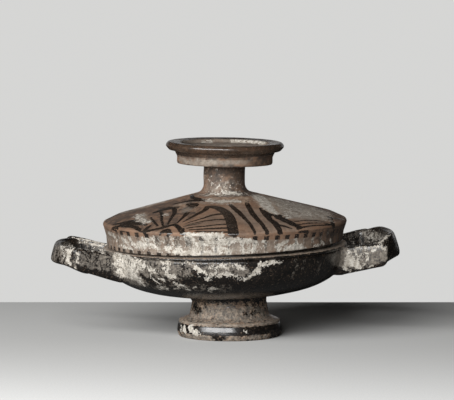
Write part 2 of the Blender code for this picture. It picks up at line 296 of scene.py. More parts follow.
def foot_outline():
    """From the middle of the hollow under the foot, over the resting ring, to the stem's waist."""
    ring_inside = FOOT_BASE_RADIUS - FOOT_RING_WIDTH
    hollow = FOOT_STEM_RADIUS - FOOT_WALL
    ceiling = FOOT_HEIGHT + BOWL_WALL - FOOT_CEILING
    edge_top = FOOT_RIM_HEIGHT + FOOT_EDGE_THICKNESS
    return rounded(
        [
            (0.0, ceiling, 0),
            (hollow, ceiling - WORN, 0.25 * hollow),
            (hollow + WORN, FOOT_RIM_HEIGHT, 0),
            (ring_inside, 0.0, SOFT),
            (FOOT_BASE_RADIUS, 0.0, 2 * SOFT),
            (FOOT_RIM_RADIUS, 0.34 * FOOT_RIM_HEIGHT, FOOT_RIM_ROUNDING),
            (FOOT_RIM_RADIUS - 0.6 * SOFT, 0.62 * FOOT_RIM_HEIGHT, 2 * FOOT_RIM_ROUNDING),
            (FOOT_RIM_RADIUS - 2.4 * SOFT, 0.92 * FOOT_RIM_HEIGHT, WORN),
            (FOOT_EDGE_RADIUS - SOFT, FOOT_RIM_HEIGHT, 0),
            (FOOT_EDGE_RADIUS, FOOT_RIM_HEIGHT + 0.4 * FOOT_EDGE_THICKNESS, SOFT),
            (FOOT_EDGE_RADIUS - SOFT, edge_top, SOFT),
            (FOOT_STEM_RADIUS + FOOT_STEM_SPREAD, edge_top + FOOT_SLOPE_HEIGHT, FOOT_SLOPE_HEIGHT),
            (FOOT_STEM_RADIUS, 0.86 * FOOT_HEIGHT, 0),
        ]
    )


def belly_outline():
    """From the stem's waist up the outside of the bowl to the groove under its ring."""
    return bezier(
        (FOOT_STEM_RADIUS + 0.75 * FOOT_STEM_SPREAD, FOOT_HEIGHT),
        (0.66 * BOWL_RADIUS, FOOT_HEIGHT + 0.100 * BOWL_DEPTH),
        (1.01 * BOWL_RADIUS, FOOT_HEIGHT + 0.23 * BOWL_DEPTH),
        (BOWL_RADIUS, ledge_height() - LEDGE_RING_HEIGHT - SOFT),
        BELLY_STEPS,
    )


def rim_outline():
    """From the groove under the ring, over the ledge and the lip, to the lip's inside."""
    ledge = ledge_height()
    lip = lip_radius()
    lip_inside = lip - LIP_WALL
    lip_top = ledge + lid_lift() + inner_corner_height() - LIP_HEADROOM
    ring_low = ledge - LEDGE_RING_HEIGHT
    ring_radius = BOWL_RADIUS + LEDGE_RING_PROUD
    return rounded(
        [
            (BOWL_RADIUS - LEDGE_GROOVE, ring_low, 0),
            (ring_radius, ring_low + 0.35 * LEDGE_RING_HEIGHT, SOFT),
            (ring_radius, ring_low + 0.75 * LEDGE_RING_HEIGHT, SOFT),
            (BOWL_RADIUS - SOFT, ledge, SOFT),
            (lip, ledge, 0),
            (lip, lip_top, 0.4 * LIP_WALL),
            (lip_inside, lip_top, 0.4 * LIP_WALL),
            (lip_inside, ledge - 0.15 * BOWL_DEPTH, 0),
        ]
    )


def basin_outline():
    """From the lip's inside down to the middle of the bowl's floor."""
    ledge = ledge_height()
    lip_inside = lip_radius() - LIP_WALL
    floor = FOOT_HEIGHT + BOWL_WALL
    return bezier(
        (lip_inside, ledge - 0.22 * BOWL_DEPTH),
        (0.985 * lip_inside, floor + 0.30 * BOWL_DEPTH - 0.6 * BOWL_WALL),
        (0.62 * lip_inside, floor + 0.10 * BOWL_DEPTH),
        (0.0, floor),
        BASIN_STEPS,
    )


def lid_underside():
    """From the middle of the lid's underside, down inside the flange to its lower edge."""
    inside, seat, shoulder = flange_radii()
    inner_corner = inner_corner_height()
    ceiling = inner_corner + (inside - STEM_RADIUS) * DOME_RISE / (shoulder - STEM_RADIUS)
    return rounded(
        [
            (0.0, ceiling + SOFT, 0),
            (STEM_RADIUS, ceiling, 0.6 * STEM_RADIUS),
            (inside, inner_corner, WORN),
            (inside, SOFT / 2, 0),
            (inside + SOFT, 0.0, 0),
            (seat - SOFT, 0.0, 0),
        ]
    )


def lid_outside():
    """From the flange's lower edge up its band, over the shoulder and the dome, to the stem's top."""
    _, seat, shoulder = flange_radii()
    neck = FLANGE_HEIGHT + DOME_RISE
    return rounded(
        [
            (seat - SOFT, 0.0, 0),
            (seat, SOFT, 0),
            (seat + 0.15 * SHOULDER_OVERHANG, 0.42 * FLANGE_HEIGHT, WORN),
            (seat + 0.65 * SHOULDER_OVERHANG, 0.72 * FLANGE_HEIGHT, 3 * WORN),
            (shoulder, FLANGE_HEIGHT - WORN, 2 * WORN),
            (shoulder - SHOULDER_WIDTH, FLANGE_HEIGHT + SHOULDER_SLOPE * SHOULDER_WIDTH, 2 * SHOULDER_WIDTH),
            (STEM_RADIUS, neck, NECK_ROUNDING),
            (STEM_RADIUS, neck + STEM_LENGTH, 0),
        ]
    )


def knob_outline():
    """From the band under the knob's rim, over the rim, to the middle of the dish on top."""
    under = FLANGE_HEIGHT + DOME_RISE + STEM_LENGTH
    band = KNOB_RIM_RADIUS - KNOB_BAND_SETBACK
    band_top = under + KNOB_BAND_HEIGHT
    rim_low = band_top + KNOB_COVE_HEIGHT
    top = rim_low + KNOB_RIM_THICKNESS
    dish = KNOB_RIM_RADIUS - KNOB_DISH_SETBACK
    floor = top - KNOB_DISH_DEPTH
    return rounded(
        [
            (band - SOFT, under, 0),
            (band, under + WORN, 0),
            (band, band_top, 2 * WORN),
            (band + KNOB_COVE_WIDTH, rim_low - SOFT, WORN),
            (KNOB_RIM_RADIUS - 0.42 * KNOB_RIM_THICKNESS, rim_low, WORN),
            (KNOB_RIM_RADIUS + SOFT, rim_low + 0.55 * KNOB_RIM_THICKNESS, 2 * WORN),
            (KNOB_RIM_RADIUS - 0.33 * KNOB_RIM_THICKNESS, top, 2 * WORN),
            (dish + 2 * WORN, top - 0.3 * KNOB_DISH_DEPTH, 0),
            (dish, floor, 0),
            (0.18 * dish, floor - SOFT, 0),
            (0.0, floor - WORN, 0),
        ]
    )


# The hand-made irregularities


def tilted(points, pivot_height, degrees):
    """The points turned about the line through (0, 0, pivot height) along Y, so that +X rises."""
    c, s = math.cos(math.radians(degrees)), math.sin(math.radians(degrees))
    x, y, z = points[:, 0], points[:, 1], points[:, 2] - pivot_height
    return np.stack([c * x - s * z, y, s * x + c * z + pivot_height], axis=1)


def settle_bowl(points):
    """Leans the bowl and its handles about the middle of the ledge, over an upright, off-centre foot."""
    share = eased(points[:, 2], 0.80 * FOOT_HEIGHT, 1.15 * FOOT_HEIGHT)[:, None]
    leaned = tilted(points, ledge_height(), BOWL_LEAN_DEG)
    foot = points + (FOOT_OFF_CENTRE, 0, 0)
    return foot * (1 - share) + leaned * share + (SHIFT, 0, 0)


def settle_lid(points):
    """Skews the flange's lower edge, sets the knob askew, and seats the lid on the leaning ledge."""
    neck = FLANGE_HEIGHT + DOME_RISE
    under = neck + STEM_LENGTH
    low = 1 - eased(points[:, 2], 0.0, 0.8 * FLANGE_HEIGHT)
    skewed = points.copy()
    skewed[:, 2] += low * points[:, 0] * math.tan(math.radians(FLANGE_SKEW_DEG))
    share = eased(points[:, 2], neck + 0.5 * STEM_LENGTH, under)[:, None]
    knob = tilted(skewed, under, -KNOB_LEAN_DEG) + (KNOB_OFF_CENTRE, 0, 0)
    leaned = tilted(skewed * (1 - share) + knob * share, 0, LID_LEAN_DEG)
    return leaned + (SHIFT, 0, ledge_height() + lid_lift())


def lattice_noise(points, size, seed):
    """Smooth noise from -1 to 1: a random value at each corner of a cubic lattice with cells of the given
    size, blended between the eight corners round a point by 3t^2 - 2t^3."""
    scaled = points / size
    cell = np.floor(scaled).astype(np.int64)
    ease = scaled - cell
    ease = ease * ease * (3 - 2 * ease)
    total = np.zeros(len(points))
    for corner in itertools.product((0, 1), repeat=3):
        key = (cell + corner) @ np.array([73856093, 19349663, 83492791]) + seed * 1013904223
        key = ((key ^ (key >> 13)) * 1274126177) & 0x7FFFFFFF
        value = ((key ^ (key >> 15)) & 0xFFFF) / 32768 - 1
        total += value * np.prod(np.where(corner, ease, 1 - ease), axis=1)
    return total


def unevenness(points, seed):
    """How far each point is set back, in metres: the mean depth, a broad noise and a close one added up, and
    0 where that is negative."""
    (broad, broad_grain), (close, close_grain) = UNEVEN_BROAD, UNEVEN_CLOSE
    depth = UNEVEN_MEAN + broad * lattice_noise(points, broad_grain * MM, seed)
    depth = depth + close * lattice_noise(points, close_grain * MM, seed + 1)
    return np.maximum(depth, 0) * MM


# Meshes


def between_rings(rings, sides):
    """The faces that join each ring of points to the next one."""
    here = np.arange(sides)
    following = (here + 1) % sides
    low = np.arange(rings - 1)[:, None] * sides
    high = low + sides
    quads = np.stack([low + here, low + following, high + following, high + here], axis=-1)
    return quads.reshape(-1, 4).tolist()


def turned(outline, segments):
    """Points and faces of an outline, which starts and ends on the axis, turned once round Z: x and y are the
    radius times the cosine and sine of the turn. Faces look outwards, and the poles are closed by fans."""
    turn = np.linspace(0, 2 * math.pi, segments, endpoint=False)
    radius, height = outline[1:-1].T
    x = radius[:, None] * np.cos(turn)
    y = radius[:, None] * np.sin(turn)
    z = np.repeat(height[:, None], segments, axis=1)
    points = np.stack([x, y, z], axis=-1).reshape(-1, 3)
    points = np.vstack([points, (0, 0, outline[0, 1]), (0, 0, outline[-1, 1])])
    rows = len(radius)
    here = np.arange(segments)
    following = (here + 1) % segments
    top = (rows - 1) * segments
    first_pole, last_pole = rows * segments, rows * segments + 1
    start_fan = np.stack([following, here, np.full(segments, first_pole)], axis=-1)
    end_fan = np.stack([top + here, top + following, np.full(segments, last_pole)], axis=-1)
    return points, between_rings(rows, segments) + start_fan.tolist() + end_fan.tolist()


def swept(middle, side, up, thick, high):
    """Points and faces of a strap: at each station, the middle plus side and up times the half sizes, times
    the cosine and sine of the turn raised to a power below 1, for flat faces and rounded edges."""
    turn = 2 * math.pi * (np.arange(STRAP_SIDES) + 0.5) / STRAP_SIDES
    across = np.sign(np.cos(turn)) * np.abs(np.cos(turn)) ** STRAP_FLATNESS
    along = np.sign(np.sin(turn)) * np.abs(np.sin(turn)) ** STRAP_FLATNESS
    rings = middle[:, None] + side[:, None] * (thick[:, None] * across)[..., None]
    rings = rings + up[:, None] * (high[:, None] * along)[..., None]
    stations = len(middle)
    here = np.arange(STRAP_SIDES)
    caps = [here[::-1].tolist(), ((stations - 1) * STRAP_SIDES + here).tolist()]
    return rings.reshape(-1, 3), between_rings(stations, STRAP_SIDES) + caps


def new_object(name, points, faces):
    mesh = bpy.data.meshes.new(name)
    mesh.from_pydata(points.tolist(), [], faces)
    mesh.validate()
    work = bmesh.new()
    work.from_mesh(mesh)
    bmesh.ops.recalc_face_normals(work, faces=work.faces)
    work.to_mesh(mesh)
    work.free()
    made = bpy.data.objects.new(name, mesh)
    bpy.context.scene.collection.objects.link(made)
    return made


def points_of(mesh):
    points = np.empty(len(mesh.vertices) * 3)
    mesh.vertices.foreach_get("co", points)
    return points.reshape(-1, 3)


def normals_of(mesh):
    normals = np.empty(len(mesh.vertices) * 3)
    mesh.vertex_normals.foreach_get("vector", normals)
    return normals.reshape(-1, 3)


def moved_inwards(mesh, depth):
    """Moves every point against its normal by its depth."""
    points = points_of(mesh) - normals_of(mesh) * depth[:, None]
    mesh.vertices.foreach_set("co", points.ravel())
    mesh.update()


def keep_attribute(mesh, name, values):
    attribute = mesh.attributes.new(name, "FLOAT", "POINT")
    attribute.data.foreach_set("value", values.astype(np.float32))


# Handles


def arm_frame():
    """Root and direction of the right front arm's middle line, in plan."""
    splay = math.radians(ARM_SPLAY_DEG)
    along = np.array([math.cos(splay), -math.sin(splay), 0])
    inward = np.array([-along[1], along[0], 0])
    face = np.array([math.sqrt(BOWL_RADIUS**2 - ARM_SPREAD**2), -ARM_SPREAD, 0])
    return face + inward * STRAP / 2, along, inward


def arm_levels(share, rise):
    """Top and bottom of an arm at a share of its length. It spreads downwards where it meets the wall, and
    inside the wall its lower edge tucks up."""
    top = ledge_height() - ARM_DROP + rise * eased(share, -0.1, 1.0)
    height = STRAP_HEIGHT_ROOT + (STRAP_HEIGHT_TAB - STRAP_HEIGHT_ROOT) * np.clip(share, 0, 1)
    spread = ARM_ROOT_SPREAD * eased(-share, -0.15, 0.10)
    tuck = ARM_ROOT_TUCK * eased(-share, 0.10, 0.25)
    return top, top - height - spread + tuck


def arm_strap(length, rise):
    """An arm from inside the bowl's wall to its rounded tab. Near the wall it swells by the concave fillet
    R - sqrt(R^2 - (R - d)^2) at a distance d from the wall."""
    root, along, inward = arm_frame()
    embedded = 0.75 * (LEDGE_WIDTH + LIP_WALL)
    straight = length - TAB_ROUNDING
    run = np.concatenate([np.linspace(-embedded, 0, 8), np.linspace(0, straight, 38)[1:]])
    turn = np.radians(np.linspace(0, 86, 9)[1:])
    stop = np.concatenate([run, straight + TAB_ROUNDING * np.sin(turn)])
    turn = np.concatenate([np.zeros(len(run)), turn])
    top, low = arm_levels(stop / length, rise)
    flare = ARM_ROOT_FLARE * (1 - eased(stop, 0, 0.35 * length)) / 2
    near = np.clip(ARM_ROOT_FILLET - stop, 0, ARM_ROOT_FILLET)
    fillet = 0.5 * (ARM_ROOT_FILLET - np.sqrt(ARM_ROOT_FILLET**2 - near**2)) * (stop > -SOFT)
    middle = root + along * stop[:, None]
    middle[:, 2] = (top + low) / 2
    high = (top - low) / 2 - TAB_ROUNDING * (1 - np.cos(turn))
    thick = (STRAP / 2 + flare + fillet) * (0.45 + 0.55 * np.cos(turn))
    count = len(stop)
    return middle, np.tile(inward, (count, 1)), np.tile((0.0, 0.0, 1.0), (count, 1)), thick, high


def loop_strap(handle):
    """The loop: half an ellipse in plan, whose section leans in at its top by the lean times the square of
    the sine of the turn, and whose edges blend from the arms' levels to the crown's."""
    root, along, inward = arm_frame()
    lengths, rises = handle["arm_lengths"], handle["rises"]
    length = sum(lengths) / 2
    start = root + along * (length - TAB_OVERHANG) + inward * STRAP * 0.6
    crown = (root + along * length)[0] + handle["crown_beyond_tabs"] - STRAP / 2
    reach, width = crown - start[0], -start[1]
    front_top, front_low = arm_levels(1 - TAB_OVERHANG / lengths[0], rises[0])
    back_top, back_low = arm_levels(1 - TAB_OVERHANG / lengths[1], rises[1])
    crown_top = ledge_height() - ARM_DROP + sum(rises) / 2 + handle["crown_rise"]
    turn = np.linspace(0, math.pi, LOOP_STEPS + 1)
    out, across = np.sin(turn), np.cos(turn)
    normal = np.stack([out * width, -across * reach, 0 * out], axis=1)
    normal /= np.linalg.norm(normal, axis=1)[:, None]
    lean = math.radians(LOOP_LEAN_DEG) * out * out
    upright = np.array([0.0, 0.0, 1.0])
    side = normal * np.cos(lean)[:, None] + upright * np.sin(lean)[:, None]
    up = upright * np.cos(lean)[:, None] - normal * np.sin(lean)[:, None]
    front = (1 + across) / 2
    blend = eased(out, 0, 0.8)
    top = (front_top * front + back_top * (1 - front)) * (1 - blend) + crown_top * blend
    crown_low = crown_top - handle["crown_height"]
    low = (front_low * front + back_low * (1 - front)) * (1 - blend) + crown_low * blend
    half = (top - low) / 2
    middle = np.stack([start[0] + reach * out, -width * across, (top + low) / 2], axis=1)
    middle -= normal * (half * np.sin(lean) * 0.6)[:, None]
    return middle, side, up, np.full(len(turn), STRAP / 2), half


def mirrored(strap, across_x, across_y):
    """The same strap on the other side of the vessel."""
    flip = np.array([-1 if across_x else 1, -1 if across_y else 1, 1])
    middle, side, up, thick, high = strap
    return middle * flip, side * flip, up * flip, thick, high


def handle_straps():
    for handle, left in ((LEFT, True), (RIGHT, False)):
        front, back = zip(handle["arm_lengths"], handle["rises"])
        yield mirrored(arm_strap(*front), left, False)
        yield mirrored(arm_strap(*back), left, True)
        yield mirrored(loop_strap(handle), left, False)


def joined(body, straps):
    """The mesh of the body with the straps taken in by exact unions, and points that nearly meet merged. The
    straps' own objects are removed."""
    helpers = []
    for strap in straps:
        points, faces = swept(*strap)
        helper = new_object(f"strap_{len(helpers)}", settle_bowl(points), faces)
        join = body.modifiers.new(helper.name, "BOOLEAN")
        join.operation = "UNION"
        join.solver = "EXACT"
        join.object = helper
        helpers.append(helper)
    graph = bpy.context.evaluated_depsgraph_get()
    mesh = bpy.data.meshes.new_from_object(body.evaluated_get(graph))
    body.modifiers.clear()
    for helper in helpers:
        bpy.data.objects.remove(helper)
    work = bmesh.new()
    work.from_mesh(mesh)
    bmesh.ops.remove_doubles(work, verts=work.verts, dist=MERGED_WITHIN)
    bmesh.ops.triangulate(work, faces=[face for face in work.faces if len(face.verts) > 4])
    work.to_mesh(mesh)
    work.free()
    return mesh


def arm_roots():
    """The four places where the arms leave the wall, halfway up the arms."""
    root = arm_frame()[0] + (0, 0, ledge_height() - STRAP_HEIGHT_ROOT / 2)
    return settle_bowl(np.array([root * (x, y, 1) for x in (1, -1) for y in (1, -1)]))


def fill_creases(mesh, roots):
    """Fills the creases where the arms meet the wall: a point near a root that lies in a hollow moves out
    along its normal, half way to the mean of its neighbours, again and again. Ridges stay as they are."""
    points = points_of(mesh)
    edges = np.empty(len(mesh.edges) * 2, dtype=np.int64)
    mesh.edges.foreach_get("vertices", edges)
    first, second = edges.reshape(-1, 2).T
    count = len(points)
    neighbours = np.bincount(first, minlength=count) + np.bincount(second, minlength=count)
    below_ring = eased(ledge_height() - LEDGE_RING_HEIGHT - points[:, 2], 0.5 * MM, 2.5 * MM)
    weight = np.zeros(count)
    for root in roots:
        away = np.linalg.norm(points[:, :2] - root[:2], axis=1)
        weight = np.maximum(weight, eased(CREASE_REACH - away, 0, 0.6 * CREASE_REACH))
    weight *= below_ring
    for _ in range(CREASE_ROUNDS):
        mesh.vertices.foreach_set("co", points.ravel())
        mesh.update()
        normals = normals_of(mesh)
        mean = np.empty_like(points)
        for axis in range(3):
            total = np.bincount(first, points[second, axis], count)
            total += np.bincount(second, points[first, axis], count)
            mean[:, axis] = total / np.maximum(neighbours, 1)
        hollow = np.einsum("ij,ij->i", mean - points, normals)
        points = points + normals * (weight * 0.5 * np.maximum(hollow, 0))[:, None]
    mesh.vertices.foreach_set("co", points.ravel())
    mesh.update()


# Charts: flat coordinates in millimetres, in which the painting and the wear are placed

# Steps from one point of a path to the next, and the depth of what lies in no stroke at all
PATH_STEPS = 6
FAR_OUTSIDE = -99.0


def front_degrees(points, centre_x):
    """Degrees round the vertical through (centre_x, 0), from the middle of the front towards the right."""
    turn = np.degrees(np.arctan2(points[:, 1], points[:, 0] - centre_x)) + 90 - FRONT_DEG
    return (turn + 180) % 360 - 180


def plan_chart(points):
    return points[:, :2] / MM


def front_view_chart(points):
    """Millimetres to the right and upwards as seen from the camera's side, from the point it looks at."""
    e = math.radians(CAMERA_ELEVATION_DEG)
    up = TO_BACK * math.sin(e) + (0, 0, math.cos(e))
    aim = TO_RIGHT * CAMERA_AIM_RIGHT + (0, 0, CAMERA_AIM_HEIGHT)
    return np.stack([(points - aim) @ TO_RIGHT, (points - aim) @ up], axis=1) / MM


def facing_front(normals):
    """1 on what looks towards the front, fading to 0 on what is seen edge on."""
    return eased(normals @ ((0, 0, 0.1) - TO_BACK), 0.02, 0.25)


def wrapped_chart(points, radius, centre_x):
    """Degrees made millimetres on a cylinder of the given radius, and the height."""
    across = np.radians(front_degrees(points, centre_x)) * radius / MM
    return np.stack([across, points[:, 2] / MM], axis=1)


def wrapped_path(path, radius):
    """A path of (degrees, millimetres of height) on the same cylinder."""
    path = np.array(path, float)
    return np.stack([np.radians(path[:, 0]) * radius / MM, path[:, 1]], axis=1)


def smooth_path(path):
    """Points of a Catmull-Rom curve through the path's points: a cubic between each two, whose slope at a
    point is half the step from the point before to the point after."""
    p = np.array(path, float)
    if len(p) < 3:
        return p
    p = np.vstack([2 * p[0] - p[1], p, 2 * p[-1] - p[-2]])
    a, b, c, d = (p[i : len(p) - 3 + i, None] for i in range(4))
    t = np.linspace(0, 1, PATH_STEPS, endpoint=False)[None, :, None]
    curve = 0.5 * (2 * b + (c - a) * t + (2 * a - 5 * b + 4 * c - d) * t**2 + (3 * b - a - 3 * c + d) * t**3)
    return np.vstack([curve.reshape(-1, p.shape[1]), p[-2]])


def inside_stroke(chart, path, widths):
    """How deep each point lies inside a tapering stroke, in millimetres, negative outside: half the width
    there less the distance to the nearest point of the path. Widths are spread evenly along the path."""
    line = smooth_path(path)
    half = np.interp(np.linspace(0, 1, len(line)), np.linspace(0, 1, len(widths)), widths) / 2
    deepest = np.full(len(chart), FAR_OUTSIDE)
    for start, end, half_start, half_end in zip(line, line[1:], half, half[1:]):
        edge = end - start
        share = np.clip((chart - start) @ edge / max(edge @ edge, 1e-9), 0, 1)
        away = np.linalg.norm(chart - start - share[:, None] * edge, axis=1)
        deepest = np.maximum(deepest, half_start + (half_end - half_start) * share - away)
    return deepest


# The lid's painting, in plan: millimetres to the right of and behind the vessel's middle.
# A stroke is its path and its widths from the path's start to its end.

PALMETTE_HEART = [
    ([(-58.5, -55.6), (-53.6, -57.6), (-48, -58.8), (-42.4, -59.0), (-40, -58.6)], (2.2, 2.6, 2.8, 3.0)),
    ([(-40, -59), (-38, -63.6), (-36.8, -68.4), (-35.3, -75), (-35, -80)], (3.0, 3.2, 3.4, 3.2)),
    ([(-45.6, -64.4), (-44, -67.2), (-43, -70)], (1.8, 2.6, 2.2)),
]
PALMETTE_GAPS = [
    ([(-34.5, -57.2), (-28.8, -51.6), (-24, -46.8), (-19, -42), (-16, -36.4)], (1.0, 2.6, 3.6, 4.0)),
    ([(-38, -57), (-34.6, -50.8), (-32, -46), (-30, -41.5)], (1.2, 2.6, 3.8)),
    ([(-43.7, -56), (-42.3, -50.8), (-40, -43.6), (-37.7, -36.4), (-36.4, -25)], (1.5, 2.0, 2.8, 3.6)),
    ([(-47.2, -56.5), (-46.8, -44.4), (-46, -36.4), (-45.6, -27)], (1.6, 2.0, 2.4)),
    ([(-50.4, -54.5), (-51.6, -48), (-52.6, -41), (-52.8, -34)], (1.5, 2.2, 1.4)),
    ([(-57, -47.6), (-60, -42.8), (-63.2, -38), (-66.4, -32.5), (-71, -29.5)], (1.8, 3.2, 4.0, 5.4)),
    ([(-60.8, -50.8), (-62.8, -47.6), (-65.6, -42), (-68.8, -37.2), (-71.5, -33)], (1.4, 1.9, 1.9)),
]
PALMETTE_GROUND = [
    ([(-49, -24), (-42, -22.5), (-36, -25.5)], (5.0, 7.0, 6.0)),
    ([(-27.5, -25), (-24.5, -28.5), (-24, -33.5)], (4.5, 7.5, 1.4)),
    ([(-36, -15), (-30, -16.5), (-25, -18), (-20, -21.5)], (1.8, 3.4, 3.6)),
    ([(-23, -2), (-23, -12), (-20, -18), (-16, -24.5)], (2.2, 3.8, 3.2)),
    ([(-76, -20), (-70, -27), (-64, -31)], (2.0, 4.0, 5.0)),
]
FAN_GAPS = [
    ([(-33.2, -60.8), (-27, -58), (-21, -55.4), (-15, -52), (-7, -50.6)], (0.9, 2.0, 3.2)),
    ([(-32, -63.4), (-26, -62), (-20, -60.6), (-13, -60.2), (-7, -61)], (0.9, 1.7, 2.8)),
    ([(-34.5, -65), (-30, -64.8), (-26, -64.4), (-22, -63.2)], (0.9, 1.2, 0.8)),
    ([(-33, -67.6), (-26, -68.6), (-20, -69.4), (-13, -68.9), (-7, -69.3)], (1.0, 1.6, 2.3)),
    ([(-32, -70.2), (-24, -72), (-16, -73.3), (-7, -74.3)], (1.0, 1.6, 2.0)),
    ([(-28.5, -73.2), (-21, -75.6), (-12, -78), (-7, -79)], (0.9, 1.3, 1.5)),
]
FRAMING_STROKE = [
    (
        [(-16, -36), (-12, -38), (-8.5, -42), (-5.2, -50), (-4, -60), (-4, -70), (-4.2, -84)],
        (4.0, 6.2, 7.2, 7.0),
    ),
]
STRIPES = [
    ([(-1.4, -35.5), (0.8, -42.5), (3.1, -50), (5.3, -59), (7.4, -68), (9.6, -79)], (3.2, 4.0, 2.8, 2.2)),
    (
        [(10.9, -27.4), (10.2, -33.7), (10.7, -41), (12.0, -53), (14.7, -66), (17.8, -78)],
        (2.4, 3.8, 4.0, 2.8),
    ),
    ([(18.6, -40.6), (19.7, -47.4), (21.6, -57), (24.3, -67), (26.8, -77)], (3.0, 5.2, 5.4, 3.4)),
]
TENDRIL_GROUND = [
    ([(22, -48), (26.6, -53.2), (31, -58.8), (35.7, -63.4), (40.3, -65.6)], (4.0, 6.8, 6.8, 4.0)),
    ([(28, -56), (30, -49.7)], (5.0, 2.4)),
    ([(31, -60), (33.4, -53)], (4.4, 1.6)),
    ([(26.6, -68.5), (34.6, -69.5)], (2.6, 2.0)),
    ([(38, -59.6), (46, -53.7), (52.9, -49.7), (59.7, -46.3)], (1.2, 1.2, 0.9)),
    ([(40, -63), (47, -57.5), (54, -52.5), (61, -47.5)], (1.1, 1.0, 0.8)),
    ([(38.5, -68.5), (45, -63.2), (51, -58.4), (58, -52.8), (64.6, -45.8)], (2.6, 1.4, 1.3, 1.6)),
    ([(64.9, -32.6), (64.3, -36), (65.2, -46)], (4.6, 3.0)),
    ([(65, -33), (70, -28), (74.6, -22.9)], (2.2, 1.2)),
]
TENDRIL_LIGHTS = [
    ([(24.3, -54), (25.4, -60), (30, -65.7), (36.9, -69)], (1.6, 3.0, 2.2)),
]
LID_STROKES = (
    PALMETTE_HEART + PALMETTE_GAPS + PALMETTE_GROUND + FAN_GAPS + FRAMING_STROKE + STRIPES + TENDRIL_GROUND
)


# Where strokes run down over the lid's shoulder, as degrees round and millimetres of height
SHOULDER_STROKES = [
    ([(-40.8, 77.6), (-40.4, 75.2), (-39.4, 72.6)], (3.2, 2.8, 2.6)),
    ([(-31.4, 74.0), (-30.6, 75.8), (-28.4, 76.7), (-26.5, 75.6), (-27.4, 73.6)], (1.4, 2.4, 2.4, 1.8)),
    ([(-58, 77.8), (-50, 77.2), (-45, 76.2), (-42.2, 75.0)], (1.0, 1.4, 1.7, 1.2)),
    ([(-56.5, 73.7), (-50.5, 73.7)], (0.7, 0.7)),
    ([(-66, 74.6), (-62.4, 75.6), (-60, 74.6)], (1.2, 2.4, 1.2)),
    ([(-67, 73.6), (-62, 73.2), (-61.4, 70.6)], (0.8, 1.2, 0.9)),
    ([(-20.8, 77.2), (-19.6, 75.0)], (2.8, 2.0)),
    ([(3.8, 76.8), (4.2, 74.6)], (5.0, 3.0)),
    ([(26.6, 77), (27.0, 75.0)], (2.2, 1.4)),
    ([(36, 75.4), (41.4, 75.2), (41.8, 73.8)], (1.2, 2.0, 1.2)),
]


def deepest_in(chart, strokes):
    """How deep each point lies inside the strokes, in millimetres: the deepest of them all."""
    deepest = np.full(len(chart), FAR_OUTSIDE)
    for path, widths in strokes:
        deepest = np.maximum(deepest, inside_stroke(chart, path, widths))
    return deepest


def ornament(plan):
    """Depth inside the dark strokes, with the light leaves that cross a dark ground cut out again."""
    return np.minimum(deepest_in(plan, LID_STROKES), -deepest_in(plan, TENDRIL_LIGHTS))


# Wear: patches of a chart, each a path, its widths, its strength from 0 to 1, and how far it fades out


def covered(chart, patches, where):
    """The strongest patch at each point: strength times an eased fall from the patch's edge inwards. It is 0
    wherever the mask is false."""
    density = np.zeros(len(chart))
    inside = chart[where]
    strongest = np.zeros(len(inside))
    for path, widths, strength, fade in patches:
        depth = inside_stroke(inside, path, widths)
        strongest = np.maximum(strongest, strength * eased(depth, -fade, fade * 0.3))
    density[where] = strongest
    return density


DOME_CRUST = [
    ([(-59, -18), (-60, -27), (-58.5, -37), (-56, -46)], (5, 4.5, 3.5, 2), 0.50, 3.0),
    ([(-15, -24), (-9, -29), (-2, -31), (4, -27)], (3, 5, 6, 2), 0.34, 4.0),
    ([(20, -18), (21, -30), (22, -40)], (6, 5, 4), 0.36, 4.0),
    ([(22, -41), (26, -47)], (2.5, 2.5), 0.55, 2.0),
    ([(-14, -12), (-6, -16), (3, -17), (12, -13)], (3, 4, 4, 3), 0.38, 3.0),
    ([(-34.5, -72.6), (-25, -76.8), (-12, -80)], (1.2, 1.9, 2.0), 0.90, 0.7),
    ([(-14, -27), (-5, -29.5), (4, -28.6)], (3.0, 4.6, 3.0), 0.74, 1.2),
    ([(-13, -13), (-5, -16.5), (8, -15)], (1.6, 2.4, 2.0), 0.74, 1.0),
    ([(20.5, -14), (22.5, -28), (24, -40), (27, -47)], (7.0, 7.0, 6.0, 3.0), 0.72, 2.0),
    ([(-61, -20.5), (-61, -30)], (1.2, 1.2), 0.90, 0.6),
    ([(-58.5, -31), (-56.5, -43)], (3.4, 2.6), 0.66, 1.0),
    ([(40, -16), (43, -34), (38, -46)], (24, 18, 8), 0.30, 5.0),
    ([(58, -16), (60, -36)], (14, 10), 0.26, 5.0),
    ([(36, -49), (35, -53)], (5, 3), 0.48, 2.0),
    ([(48, -30), (50, -42)], (6, 4), 0.42, 4.0),
    ([(66, -12), (66.5, -25)], (3, 3), 0.32, 3.0),
    ([(-43.5, -34), (-43, -36.5)], (3, 3), 0.60, 1.5),
]
